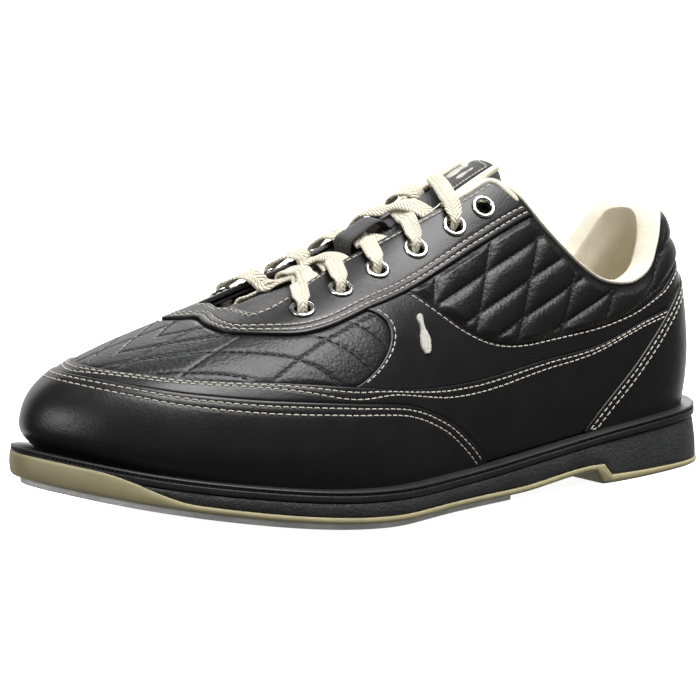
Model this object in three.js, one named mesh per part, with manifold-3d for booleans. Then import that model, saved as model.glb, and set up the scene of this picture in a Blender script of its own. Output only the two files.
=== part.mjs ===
// A left bowling shoe: quilted leather upper with overlays, padded collar and tongue, six pairs of
// eyelets with a flat lace, and a low heeled sole with a rubber toe bumper and a felt slide pad.
// Millimetres. +X runs from heel to toe, +Y to the outer (lateral) side, +Z up, ground at z = 0.
//
// The upper is laid out on a last: surf(u, v) gives a point of the last, where u runs once round the
// foot (0 heel, 0.25 lateral waist, 0.5 toe, 0.75 medial waist) and v climbs from the feather line (0)
// to the ridge (1). Every leather piece is a strip between two seam lines drawn in (u, v).
import * as THREE from "three";
import { mergeVertices } from "three/addons/utils/BufferGeometryUtils.js";
import Module from "manifold-3d";

const wasm = await Module();
wasm.setup();

// ---------------------------------------------------------------- driving dimensions
const LENGTH = 302; // heel to toe, over the sole
const HEEL_WIDTH = 70; // sole width at the heel seat
const WAIST_WIDTH = 70; // sole width behind the arch
const BALL_WIDTH = 101; // sole width at the ball
const ANKLE_CROWN = 130; // height of the last's ridge at the ankle
const INSTEP_CROWN = 99; // height of the last's ridge at the lowest eyelet
const TOE_CROWN = 65; // height of the last's ridge over the toes
const HEEL_SEAT_Z = 23.5; // welt height at the heel
const BALL_Z = 15.5; // welt height at the ball
const TOE_Z = 33.5; // welt height at the toe tip
const TOE_SPRING = 20; // height of the outsole's underside at the toe tip

const GAP = 0.3; // clearance between neighbouring pieces
const LEATHER = 1.2; // one layer of upper leather
const OVERLAY_STEP = 0.5; // how far each layer of overlay stands above the one below
const FACING = 0.9; // leather facing behind the eyestay
const STIFFENER = 1.0; // toe puff and heel stiffener
const LINING = 1.1; // textile lining
const COLLAR_FOAM = 5.6; // foam in the collar
const TONGUE_FOAM = 4.0; // foam in the tongue
const ROLL_HEIGHT = 3.0; // lining rolled over the topline

const SLIDE_PAD_THICKNESS = 2.2;
const OUTSOLE_THICKNESS = 2.4;
const WELT_HEIGHT = 4.2;
const WELT_LEDGE = 4.0; // width of the welt outside the upper
const SHANK_THICKNESS = 1.5;
const INSOLE_THICKNESS = 1.8;
const FOOTBED_THICKNESS = 4.5;
const HEEL_LENGTH = 70; // heel breast, from the back
const ARCH_RISE = 5.5; // height of the waist's underside in front of the heel

const EYELET_OUTER = 9.4; // eyelet flange diameter
const EYELET_HOLE = 5.8; // clear hole
const EYELET_WALL = 0.4; // barrel wall
const LACE_WIDTH = 6.6;
const LACE_THICKNESS = 1.5;
const KEEPER_WIDTH = 12; // webbing loop on the tongue, along the foot
const LABEL_LENGTH = 20; // woven label on the tongue
const EMBLEM_HEIGHT = 15; // embroidered pin on each side

// ---------------------------------------------------------------- curves
function ringValue(values, u) {
  const n = values.length;
  const s = (((u % 1) + 1) % 1) * n;
  const i = Math.floor(s);
  const t = s - i;
  const [a, b, c, d] = [-1, 0, 1, 2].map((k) => values[(i + k + n) % n]);
  return 0.5 * (2 * b + (c - a) * t + (2 * a - 5 * b + 4 * c - d) * t ** 2 + (3 * b - a - 3 * c + d) * t ** 3);
}

// Hermite curve through points [x, y], flat beyond its ends.
function profile(points, x) {
  const n = points.length;
  const at = (i) => points[Math.min(Math.max(i, 0), n - 1)];
  const slope = (i) => {
    const [before, here, after] = [at(i - 1), at(i), at(i + 1)];
    if (before === here || after === here) return (after[1] - before[1]) / (after[0] - before[0]);
    const [h0, h1] = [here[0] - before[0], after[0] - here[0]];
    const [d0, d1] = [(here[1] - before[1]) / h0, (after[1] - here[1]) / h1];
    return (h1 * d0 + h0 * d1) / (h0 + h1);
  };
  const xc = Math.min(Math.max(x, points[0][0]), points[n - 1][0]);
  let i = 0;
  while (i < n - 2 && xc >= points[i + 1][0]) i += 1;
  const h = points[i + 1][0] - points[i][0];
  const t = (xc - points[i][0]) / h;
  return (
    (2 * t ** 3 - 3 * t ** 2 + 1) * points[i][1] +
    (t ** 3 - 2 * t ** 2 + t) * h * slope(i) +
    (3 * t ** 2 - 2 * t ** 3) * points[i + 1][1] +
    (t ** 3 - t ** 2) * h * slope(i + 1)
  );
}

const clamp = (x, low, high) => Math.min(Math.max(x, low), high);
const mix = (a, b, t) => a + (b - a) * t;
const smooth = (low, high, x) => {
  const t = clamp((x - low) / (high - low), 0, 1);
  return t * t * (3 - 2 * t);
};
const softMin = (a, b, k) => {
  const h = clamp(0.5 + (0.5 * (b - a)) / k, 0, 1);
  return b + (a - b) * h - k * h * (1 - h);
};
const softMax = (a, b, k) => -softMin(-a, -b, k);

// ---------------------------------------------------------------- sole outline
// Stations from heel (0) to toe (8): share of the length, then lateral and medial half widths.
const STATION = [0, 0.04, 0.149, 0.315, 0.48, 0.629, 0.768, 0.925, 1];
const TOE_TIP_Y = -10;
const LATERAL = [
  0,
  0.34 * HEEL_WIDTH,
  0.49 * HEEL_WIDTH,
  0.557 * WAIST_WIDTH,
  0.46 * BALL_WIDTH,
  0.555 * BALL_WIDTH,
  0.5 * BALL_WIDTH,
  0.277 * BALL_WIDTH,
  TOE_TIP_Y,
];
const MEDIAL = [
  0,
  -0.357 * HEEL_WIDTH,
  -0.507 * HEEL_WIDTH,
  -0.443 * WAIST_WIDTH,
  -0.337 * BALL_WIDTH,
  -0.426 * BALL_WIDTH,
  -0.505 * BALL_WIDTH,
  -0.436 * BALL_WIDTH,
  TOE_TIP_Y,
];
const around = (lateral, medial) => [...lateral, ...medial.slice(1, -1).reverse()];
const RING_X = around(STATION, STATION).map((share) => share * LENGTH);
const RING_Y = around(LATERAL, MEDIAL);
const ringPoint = (u) => new THREE.Vector2(ringValue(RING_X, u), ringValue(RING_Y, u));

// Point of the sole outline at u, moved out by the given distance.
function outline(u, out = 0) {
  const step = 1e-4;
  const along = ringPoint(u + step).sub(ringPoint(u - step)).normalize();
  return ringPoint(u).add(new THREE.Vector2(-along.y, along.x).multiplyScalar(out));
}

// The lateral u whose outline point lies at x.
function uAt(x) {
  let [low, high] = [0, 0.5];
  for (let i = 0; i < 40; i += 1) {
    const middle = (low + high) / 2;
    if (ringValue(RING_X, middle) < x) low = middle;
    else high = middle;
  }
  return (low + high) / 2;
}

// ---------------------------------------------------------------- last
const along = (share, z) => [share * LENGTH, z];
const WELT_LINE = [
  along(0, HEEL_SEAT_Z),
  along(0.2, HEEL_SEAT_Z - 2.5),
  along(0.33, mix(BALL_Z, HEEL_SEAT_Z, 0.25)),
  along(0.5, BALL_Z - 1),
  along(0.66, BALL_Z + 0.5),
  along(0.795, mix(BALL_Z, TOE_Z, 0.3)),
  along(0.91, mix(BALL_Z, TOE_Z, 0.64)),
  along(1, TOE_Z),
];
const RIDGE_LINE = [
  along(0, ANKLE_CROWN - 4),
  along(0.1, ANKLE_CROWN - 3),
  along(0.205, ANKLE_CROWN),
  along(0.315, ANKLE_CROWN),
  along(0.414, mix(INSTEP_CROWN, ANKLE_CROWN, 0.61)),
  along(0.53, INSTEP_CROWN),
  along(0.63, mix(TOE_CROWN, INSTEP_CROWN, 0.62)),
  along(0.73, mix(TOE_CROWN, INSTEP_CROWN, 0.32)),
  along(0.83, mix(TOE_CROWN, INSTEP_CROWN, 0.13)),
  along(0.91, TOE_CROWN + 1.5),
  along(1, TOE_CROWN),
];
const weltZ = (x) => profile(WELT_LINE, x);
const ridgeZ = (x) => profile(RIDGE_LINE, x);
const ridgeY = (x) => -6 * smooth(0.13, 0.66, x / LENGTH);
const BOXINESS = [2.6, 2.6, 2.5, 2.3, 2.2, 2.4, 2.8, 3.2, 3.4]; // superellipse power, heel to toe
const RING_BOXINESS = around(BOXINESS, BOXINESS);
const FEATHER_TUCK = 0.05; // how far the wall turns in at the feather line
const SEAT_GAP = 0.5; // between the welt and the upper's lower edge
const HEEL_POLE = 0.205 * LENGTH;
const TOE_POLE = 0.616 * LENGTH;

function last(u, v) {
  const base = outline(u, -WELT_LEDGE);
  const x0 = softMax(softMin(base.x, TOE_POLE, 40), HEEL_POLE, 30);
  const y0 = ridgeY(x0);
  const angle = (v * Math.PI) / 2;
  const power = 2 / ringValue(RING_BOXINESS, u);
  const rise = Math.sin(angle) ** power;
  const spread = Math.max(Math.cos(angle), 0) ** power - FEATHER_TUCK * clamp(1 - rise / 0.25, 0, 1) ** 2;
  const x = mix(x0, base.x, spread);
  const foot = weltZ(base.x) + SEAT_GAP;
  return new THREE.Vector3(x, mix(y0, base.y, spread), mix(foot, ridgeZ(x), rise));
}

// Point at the given distance outside the last.
function surf(u, v, out = 0) {
  const point = last(u, v);
  const [du, dv] = [1e-3, 2e-3];
  const [low, high] = [Math.max(v - dv, 1e-4), Math.min(v + dv, 0.996)];
  const side = last(u + du, Math.min(v, 0.994)).sub(last(u - du, Math.min(v, 0.994)));
  const up = last(u, Math.max(high, low + dv)).sub(last(u, Math.min(low, 0.994)));
  return point.addScaledVector(up.cross(side).normalize(), out);
}

// ---------------------------------------------------------------- solids
// A closed geometry from a list of triangle corners, welded, with its faces turned out.
function closedGeometry(corners) {
  const welded = mergeVertices(new THREE.BufferGeometry().setFromPoints(corners), 1e-3);
  const kept = [];
  let volume = 0;
  const p = [new THREE.Vector3(), new THREE.Vector3(), new THREE.Vector3()];
  for (let i = 0; i < welded.index.count; i += 3) {
    const face = [0, 1, 2].map((k) => welded.index.getX(i + k));
    if (face[0] === face[1] || face[1] === face[2] || face[2] === face[0]) continue;
    face.forEach((vertex, k) => p[k].fromBufferAttribute(welded.attributes.position, vertex));
    volume += p[0].dot(p[1].clone().cross(p[2]));
    kept.push(...face);
  }
  if (volume < 0) kept.reverse();
  welded.setIndex(kept);
  return welded;
}

// A solid through cross sections of equal length. Each section is a chain out and a chain back, and
// an end cap joins the two chains. Ends that close on a line need no cap.
function loft(sections, { ring = false, caps = true } = {}) {
  const corners = [];
  const quad = (a, b, c, d) => corners.push(a, b, c, a, c, d);
  const n = sections[0].length;
  const spans = ring ? sections.length : sections.length - 1;
  for (let i = 0; i < spans; i += 1) {
    const [near, far] = [sections[i], sections[(i + 1) % sections.length]];
    for (let j = 0; j < n; j += 1) {
      const k = (j + 1) % n;
      quad(near[j], near[k], far[k], far[j]);
    }
  }
  if (!ring && caps) {
    for (const [section, first] of [[sections[0], true], [sections[sections.length - 1], false]]) {
      if (!first && caps === "first") continue;
      for (let j = 0; j < n / 2 - 1; j += 1) {
        const four = [section[j], section[n - 1 - j], section[n - 2 - j], section[j + 1]];
        if (!first) four.reverse();
        quad(...four);
      }
    }
  }
  return closedGeometry(corners);
}

function manifoldOf(geometry) {
  const bare = new THREE.BufferGeometry();
  bare.setAttribute("position", geometry.getAttribute("position"));
  bare.setIndex(geometry.index);
  const merged = mergeVertices(bare, 1e-3);
  return new wasm.Manifold(
    new wasm.Mesh({
      numProp: 3,
      vertProperties: new Float32Array(merged.attributes.position.array),
      triVerts: new Uint32Array(merged.index.array),
    }),
  );
}

function geometryOf(manifold) {
  const { vertProperties, triVerts } = manifold.getMesh();
  const geometry = new THREE.BufferGeometry();
  geometry.setAttribute("position", new THREE.BufferAttribute(vertProperties, 3));
  geometry.setIndex(new THREE.BufferAttribute(triVerts, 1));
  return geometry;
}

// ---------------------------------------------------------------- materials
const finish = (color, roughness, metalness = 0) => ({ color, roughness, metalness });
const BLACK_LEATHER = finish(0x141414, 0.45);
const QUILTED_LEATHER = finish(0x171717, 0.5);
const CREAM_TEXTILE = finish(0xe6dcc4, 0.9);
const CREAM_LACE = finish(0xe8dfc8, 0.85);
const BLACK_RUBBER = finish(0x181818, 0.7);
const TAN_RUBBER = finish(0x94896a, 0.65);
const GREY_FELT = finish(0x9b9a96, 0.95);
const SILVER = finish(0xc4c6c8, 0.3, 1);
const BLACK_MESH = finish(0x1b1b1b, 0.9);
const FOAM = finish(0xd8cf9a, 0.95);
const BOARD = finish(0xb49a72, 0.85);
const STEEL = finish(0x8d9094, 0.4, 1);
const THERMOPLASTIC = finish(0xcfcabc, 0.6);
const WHITE_THREAD = finish(0xe9e6dc, 0.75);

const shoe = new THREE.Group();
const tongueGroup = new THREE.Group();

function add(name, geometry, look, parent = shoe) {
  const mesh = new THREE.Mesh(geometry, new THREE.MeshStandardMaterial(look));
  mesh.name = name;
  parent.add(mesh);
}

// ---------------------------------------------------------------- sole unit
const SOLE_STEPS = 26;
const PAD_START = 0.39 * LENGTH;
const PAD_INSET = 3;
const ARCH_X = HEEL_LENGTH + 4;
const BREAST_WALL = 4; // horizontal thickness of the outsole on the heel breast
const HEEL_CAP_BACK = 1.6; // outsole under the heel, at the back
const HEEL_CAP_FRONT = 3.2; // and at the breast
const BUMPER_WALL = 3.2;
const HEEL_FLARE = 1.2;

const ground = (x) => TOE_SPRING * clamp((x / LENGTH - 0.58) / 0.42, 0, 1) ** 1.6;
const treadZ = (x) => ground(x) + SLIDE_PAD_THICKNESS + GAP;

function outsoleBottom(x) {
  if (x <= HEEL_LENGTH) return 0;
  if (x <= ARCH_X) return (ARCH_RISE * (x - HEEL_LENGTH)) / (ARCH_X - HEEL_LENGTH);
  return mix(ARCH_RISE, treadZ(x), smooth(ARCH_X, PAD_START, x));
}

function outsoleFloor(x) {
  const breast = HEEL_LENGTH - BREAST_WALL;
  if (x <= breast) return mix(HEEL_CAP_BACK, HEEL_CAP_FRONT, x / breast);
  const arch = outsoleBottom(Math.max(x, ARCH_X)) + OUTSOLE_THICKNESS;
  if (x <= HEEL_LENGTH) return mix(HEEL_CAP_FRONT, arch, (x - breast) / BREAST_WALL);
  return arch;
}

const stackTop = (x) => weltZ(x) - WELT_HEIGHT - GAP;
const bumperShare = (x) => smooth(0.84, 0.945, x / LENGTH);
const bumperTop = (x) => mix(outsoleFloor(x), stackTop(x) - GAP, bumperShare(x));
const bumperWall = (x) => BUMPER_WALL * smooth(0.838, 0.862, x / LENGTH);
const flare = (x) => HEEL_FLARE * (1 - smooth(0.2, 0.28, x / LENGTH));

function soleStations(from = 0, to = LENGTH, extra = []) {
  const us = [];
  for (let k = 0; k <= SOLE_STEPS; k += 1) us.push((0.5 * k) / SOLE_STEPS);
  const inside = us.filter((u) => ringValue(RING_X, u) > from + 2 && ringValue(RING_X, u) < to - 2);
  const wanted = [...extra, ...(from > 0 ? [from] : []), ...(to < LENGTH ? [to] : [])].map(uAt);
  const ends = [...(from > 0 ? [] : [0]), ...(to < LENGTH ? [] : [0.5])];
  const close = (u) => wanted.some((other) => Math.abs(other - u) < 0.004);
  return [...inside.filter((u) => !close(u)), ...wanted, ...ends].sort((a, b) => a - b);
}

// A plate across the sole. Each chain lists [outward offset, height over x, share of the way to the
// centre line], from the rim inwards.
function slab(stations, top, bottom, caps = false) {
  const sections = stations.map((u) => {
    const x = ringValue(RING_X, u);
    const chainOf = (rows) => {
      const halves = [u, 1 - u].map((side) =>
        rows.map(([out, height, share = 0]) => {
          const rim = outline(side, out);
          const centre = rim.clone().add(outline(1 - side, out)).divideScalar(2);
          const point = rim.lerp(centre, share);
          return new THREE.Vector3(point.x, point.y, height(point.x));
        }),
      );
      return [...halves[0], ...halves[1].reverse()];
    };
    return [...chainOf(top(x)), ...chainOf(bottom(x)).reverse()];
  });
  return loft(sections, { caps });
}

const breastStops = [HEEL_LENGTH - BREAST_WALL, HEEL_LENGTH, ARCH_X];
add(
  "slide_pad",
  slab(
    soleStations(PAD_START, LENGTH),
    () => [[-PAD_INSET, (x) => ground(x) + SLIDE_PAD_THICKNESS]],
    () => [[-PAD_INSET, ground]],
    true,
  ),
  GREY_FELT,
);
const outsoleTop = (x) => [
  [flare(x), bumperTop],
  [-bumperWall(x), bumperTop],
  [-bumperWall(x) - 0.1, outsoleFloor],
];
add(
  "outsole",
  slab(
    soleStations(0, LENGTH, [...breastStops, PAD_START, 0.838 * LENGTH, 0.862 * LENGTH]),
    outsoleTop,
    (x) => [[flare(x), outsoleBottom]],
  ),
  TAN_RUBBER,
);

const above = (height, by = GAP) => (x) => height(x) + by;
const midsoleInset = (x) => -(bumperWall(x) + GAP * smooth(0.838, 0.862, x / LENGTH));
add(
  "midsole",
  slab(
    soleStations(0, LENGTH, [...breastStops, PAD_START, 0.838 * LENGTH, 0.862 * LENGTH]),
    (x) => [[-0.5 * flare(x), stackTop]],
    (x) => [
      [flare(x), above(bumperTop)],
      [midsoleInset(x), above(bumperTop)],
      [midsoleInset(x) - 0.1, above(outsoleFloor)],
    ],
  ),
  BLACK_RUBBER,
);

const WELT_INNER = -(WELT_LEDGE + 1.8);
const WELT_STEPS = 48;
const GROOVE_DEPTH = 0.8;
const weltSections = [];
for (let k = 0; k < WELT_STEPS; k += 1) {
  const u = k / WELT_STEPS;
  const top = weltZ(ringValue(RING_X, u));
  weltSections.push(
    [
      [WELT_INNER, 0],
      [0.3, 0],
      [0.3, -0.8],
      [0.3 - GROOVE_DEPTH, -1.3],
      [0.3, -1.8],
      [0.3, -WELT_HEIGHT],
      [WELT_INNER, -WELT_HEIGHT],
    ].map(([out, drop]) => {
      const point = outline(u, out);
      return new THREE.Vector3(point.x, point.y, top + drop);
    }),
  );
}
add("welt", loft(weltSections, { ring: true }), BLACK_RUBBER);

// Inside the welt, from the midsole up: shank and filler, insole board, footbed.
const BOARD_OUT = WELT_INNER - 0.9;
const FOOTBED_OUT = -12.5;
const boardTop = (x) => weltZ(x) - GAP;
const boardBottom = (x) => boardTop(x) - INSOLE_THICKNESS;
const shankTop = (x) => stackTop(x) + GAP + SHANK_THICKNESS;
const SHANK = { from: 0.18 * LENGTH, to: 0.5 * LENGTH, halfWidth: 9 };
const shankSections = soleStations(SHANK.from, SHANK.to).map((u) => {
  const x = ringValue(RING_X, u);
  const middle = (outline(u).y + outline(1 - u).y) / 2;
  return [[1, shankTop(x)], [-1, shankTop(x)], [-1, stackTop(x) + GAP], [1, stackTop(x) + GAP]].map(
    ([side, z]) => new THREE.Vector3(x, middle + side * SHANK.halfWidth, z),
  );
});
add("shank", loft(shankSections), STEEL);
add(
  "forefoot_filler",
  slab(
    soleStations(SHANK.to + 4, LENGTH),
    () => [[BOARD_OUT, shankTop]],
    () => [[BOARD_OUT, above(stackTop)]],
    true,
  ),
  FOAM,
);
add(
  "insole_board",
  slab(
    soleStations(),
    () => [[BOARD_OUT, boardTop]],
    () => [[BOARD_OUT, boardBottom]],
  ),
  BOARD,
);
const footbedRim = (x) => 2.5 * (1 - smooth(0.25, 0.5, x / LENGTH));
const footbedTop = (x) => boardTop(x) + GAP + FOOTBED_THICKNESS;
add(
  "footbed",
  slab(
    soleStations(),
    () => [[FOOTBED_OUT, (x) => footbedTop(x) + footbedRim(x)], [FOOTBED_OUT, footbedTop, 0.35]],
    () => [[FOOTBED_OUT, above(boardTop)]],
  ),
  CREAM_TEXTILE,
);

// ---------------------------------------------------------------- seams
// A seam is a smooth line through (u, v) points of the lateral half, carried on over the medial half
// across the toe (middle 0.5) or round the heel (middle 0).
function seam(lateral, middle = 0.5) {
  const medial = lateral.slice(0, -1).reverse().map(([u, v]) => [2 * middle - u, v]);
  return new THREE.SplineCurve([...lateral, ...medial].map(([u, v]) => new THREE.Vector2(u, v)));
}

// The stretch of a seam between two of its points, counted from 0, as a function of 0 to 1.
const stretch = (curve, from, to) => (t) => curve.getPoint(mix(from, to, t) / (curve.points.length - 1));
const chain = (first, second, share) => (t) => (t < share ? first(t / share) : second((t - share) / (1 - share)));
const line = ([u0, v0], [u1, v1]) => (t) => new THREE.Vector2(mix(u0, u1, t), mix(v0, v1, t));
const medialOf = (edge) => (t) => new THREE.Vector2(1 - edge(t).x, edge(t).y);

const EYESTAY_EDGE = seam([
  [0.189, 0.535],
  [0.212, 0.535],
  [0.243, 0.545],
  [0.276, 0.565],
  [0.303, 0.587],
  [0.34, 0.59],
  [0.368, 0.615],
  [0.406, 0.705],
  [0.445, 0.8],
  [0.478, 0.86],
  [0.5, 0.875],
]);
const THROAT_EDGE = seam([
  [0.206, 0.745],
  [0.22, 0.75],
  [0.24, 0.785],
  [0.268, 0.84],
  [0.3, 0.875],
  [0.335, 0.88],
  [0.37, 0.86],
  [0.406, 0.83],
  [0.43, 0.87],
  [0.46, 0.908],
  [0.5, 0.918],
]);
const FOXING_EDGE = seam([
  [0.09, 0.192],
  [0.119, 0.178],
  [0.157, 0.15],
  [0.19, 0.158],
  [0.224, 0.178],
  [0.25, 0.203],
  [0.293, 0.255],
  [0.326, 0.302],
  [0.37, 0.36],
  [0.411, 0.412],
  [0.453, 0.467],
  [0.5, 0.5],
]);
const MUDGUARD_EDGE = seam([
  [0.2295, 0],
  [0.243, 0.06],
  [0.261, 0.13],
  [0.289, 0.2],
  [0.331, 0.245],
  [0.382, 0.287],
  [0.415, 0.332],
  [0.447, 0.38],
  [0.475, 0.41],
  [0.5, 0.42],
]);
const COUNTER_EDGE = seam(
  [
    [0.165, 0],
    [0.1475, 0.045],
    [0.1275, 0.096],
    [0.109, 0.144],
    [0.09, 0.192],
    [0.068, 0.232],
    [0.036, 0.26],
    [0, 0.27],
  ],
  0,
);
const SADDLE_TOP = seam(
  [
    [0.2675, 0.553],
    [0.25, 0.4],
    [0.236, 0.31],
    [0.22, 0.247],
    [0.2, 0.207],
    [0.175, 0.19],
    [0.15, 0.187],
    [0.124, 0.203],
    [0.099, 0.236],
    [0.075, 0.275],
    [0.04, 0.313],
    [0, 0.325],
  ],
  0,
);
const TOPLINE_POINTS = [
  [0.189, 0.535],
  [0.181, 0.465],
  [0.171, 0.39],
  [0.16, 0.33],
  [0.149, 0.292],
  [0.135, 0.274],
  [0.122, 0.277],
  [0.107, 0.306],
  [0.092, 0.37],
  [0.07, 0.45],
  [0.038, 0.505],
  [0, 0.52],
];
const TOPLINE = seam(TOPLINE_POINTS, 0);
// The lining's upper edge: up the back of the eyestay to its corner as well.
const LINING_LINE = seam([[0.2012, 0.71], [0.1935, 0.62], [0.1875, 0.535], ...TOPLINE_POINTS.slice(1)], 0);
// The saddle's front edge, from the foxing up to the eyestay, bows towards the heel.
const SADDLE_FRONT = { foot: [0.326, 0.302], head: [0.303, 0.587], bow: [-0.022, -0.012] };
const saddleFront = (t) =>
  new THREE.Vector2(
    mix(SADDLE_FRONT.foot[0], SADDLE_FRONT.head[0], t) + 4 * t * (1 - t) * SADDLE_FRONT.bow[0],
    mix(SADDLE_FRONT.foot[1], SADDLE_FRONT.head[1], t) + 4 * t * (1 - t) * SADDLE_FRONT.bow[1],
  );

// ---------------------------------------------------------------- upper
const SEAM_GAP = 0.5; // each panel stops this short of its seam line

// A strip of material between two edges. Outer and inner are distances outside the last.
function strip(edgeA, edgeB, outer, inner, { steps, columns = 4, bow = () => [0, 0] }) {
  const outerAt = typeof outer === "function" ? outer : () => outer;
  const innerAt = typeof inner === "function" ? inner : () => inner;
  const place = (t, s) => {
    const [a, b, extra] = [edgeA(t), edgeB(t), bow(t)];
    const swell = 4 * s * (1 - s);
    return [mix(a.x, b.x, s) + swell * extra[0], mix(a.y, b.y, s) + swell * extra[1]];
  };
  const span = (p, q) => surf(...p).distanceTo(surf(...q));
  const endTrim = (t, inward) => (0.02 * SEAM_GAP) / Math.max(span(place(t, 0.5), place(inward, 0.5)), 0.1);
  const [start, end] = [endTrim(0, 0.02), 1 - endTrim(1, 0.98)];
  const sections = [];
  for (let i = 0; i <= steps; i += 1) {
    const t = clamp(i / steps, start, end);
    const trim = Math.min(SEAM_GAP / span(place(t, 0), place(t, 1)), 0.4);
    const row = [];
    for (let j = 0; j <= columns; j += 1) row.push(place(t, mix(trim, 1 - trim, j / columns)));
    sections.push([
      ...row.map(([u, v]) => surf(u, v, outerAt(u, v))),
      ...row.map(([u, v]) => surf(u, v, innerAt(u, v))).reverse(),
    ]);
  }
  return loft(sections);
}

const layer = (level) => level * OVERLAY_STEP;
const SIDES = [
  ["lateral", (edge) => edge],
  ["medial", medialOf],
];
const lastPoint = (curve) => curve.points.length - 1;
const whole = (curve) => stretch(curve, 0, lastPoint(curve));
const foot = (from, to) => line([from, 0], [to, 0]);

add(
  "mudguard",
  strip(stretch(MUDGUARD_EDGE, 0.2, lastPoint(MUDGUARD_EDGE) - 0.2), foot(0.2335, 0.7665), layer(3), -LEATHER, {
    steps: 36,
    columns: 5,
  }),
  BLACK_LEATHER,
);

const FOXING_HEEL = 8 / 22; // share of the half band that meets the sole
const foxingFoot = chain(foot(0.165, 0.2295), stretch(MUDGUARD_EDGE, 0, 9), FOXING_HEEL);
const foxingTop = chain(stretch(FOXING_EDGE, 0, 4), stretch(FOXING_EDGE, 4, 11), FOXING_HEEL);
const bothHalves = (edge) => (t) => (t <= 0.5 ? edge(2 * t) : medialOf(edge)(2 - 2 * t));
add(
  "foxing_band",
  strip(bothHalves(foxingTop), bothHalves(foxingFoot), layer(2), -LEATHER, { steps: 44, columns: 3 }),
  BLACK_LEATHER,
);

const vampBow = (t) => {
  const [near, far] = [1 - smooth(0, 0.16, t), smooth(0.84, 1, t)];
  return [(near - far) * SADDLE_FRONT.bow[0], (near + far) * SADDLE_FRONT.bow[1]];
};
add(
  "vamp",
  strip(stretch(FOXING_EDGE, 7, lastPoint(FOXING_EDGE) - 7), stretch(EYESTAY_EDGE, 4, 16), 0, -LEATHER, {
    steps: 32,
    columns: 5,
    bow: vampBow,
  }),
  QUILTED_LEATHER,
);

const saddleTop = stretch(SADDLE_TOP, 11, 0);
const saddleFoot = chain(
  chain(stretch(COUNTER_EDGE, 7, 4), stretch(FOXING_EDGE, 0, 7), 6 / 20),
  saddleFront,
  20 / 28,
);
const quarterFoot = stretch(SADDLE_TOP, 0, 11);
const quarterTop = chain(stretch(EYESTAY_EDGE, 2.72, 0), stretch(TOPLINE, 0, 11), 6 / 24);
for (const [side, on] of SIDES) {
  add(
    "saddle_" + side,
    strip(on(saddleTop), on(saddleFoot), layer(1), -LEATHER, { steps: 28, columns: 4 }),
    BLACK_LEATHER,
  );
  add(
    "collar_quarter_" + side,
    strip(on(quarterFoot), on(quarterTop), 0, -LEATHER, { steps: 24, columns: 5 }),
    QUILTED_LEATHER,
  );
}

add(
  "heel_counter_cover",
  strip(whole(COUNTER_EDGE), foot(0.163, -0.163), layer(3), -LEATHER, { steps: 28, columns: 3 }),
  BLACK_LEATHER,
);

// ---------------------------------------------------------------- inside the upper
const BACKING_GAP = 1.2; // room behind the leather for its turned and stitched edges
const STIFFENER_OUT = -LEATHER - BACKING_GAP;
const INNER_OUT = STIFFENER_OUT - STIFFENER - 2 * GAP; // outer face of the linings
const puffTop = seam([
  [0.365, 0.2],
  [0.4, 0.3],
  [0.45, 0.37],
  [0.5, 0.395],
]);
add(
  "toe_puff",
  strip(whole(puffTop), line([0.365, 0.05], [0.635, 0.05]), STIFFENER_OUT, STIFFENER_OUT - STIFFENER, {
    steps: 24,
    columns: 4,
  }),
  THERMOPLASTIC,
);
const stiffenerTop = seam(
  [
    [0.115, 0.08],
    [0.08, 0.15],
    [0.04, 0.21],
    [0, 0.23],
  ],
  0,
);
add(
  "heel_stiffener",
  strip(whole(stiffenerTop), line([0.115, 0.02], [-0.115, 0.02]), STIFFENER_OUT, STIFFENER_OUT - STIFFENER, {
    steps: 16,
    columns: 3,
  }),
  THERMOPLASTIC,
);

// Lower edge of the collar foam, as v over u; the foam swells inwards above it.
const FOAM_FOOT = [
  [0, 0.27],
  [0.04, 0.25],
  [0.08, 0.185],
  [0.1, 0.135],
  [0.125, 0.09],
  [0.155, 0.09],
  [0.18, 0.2],
  [0.19, 0.35],
];
const heelwardU = (u) => Math.abs(((((u + 0.5) % 1) + 1) % 1) - 0.5);
const foamFoot = (u) => profile(FOAM_FOOT, heelwardU(u));
const foamSwell = (u, v) => {
  const low = foamFoot(u);
  return (COLLAR_FOAM - 1) * smooth(low - 0.03, low + 0.08, v) * (1 - smooth(0.172, 0.196, heelwardU(u)));
};
const foamTop = (t) => TOPLINE.getPoint(mix(0.03, 0.97, t));
const foamBase = (t) => {
  const u = mix(0.183, -0.183, t);
  return new THREE.Vector2(u, foamFoot(u));
};
add(
  "collar_foam",
  strip(foamTop, foamBase, STIFFENER_OUT, (u, v) => STIFFENER_OUT - STIFFENER - 0.8 * foamSwell(u, v), {
    steps: 30,
    columns: 3,
  }),
  FOAM,
);

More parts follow.
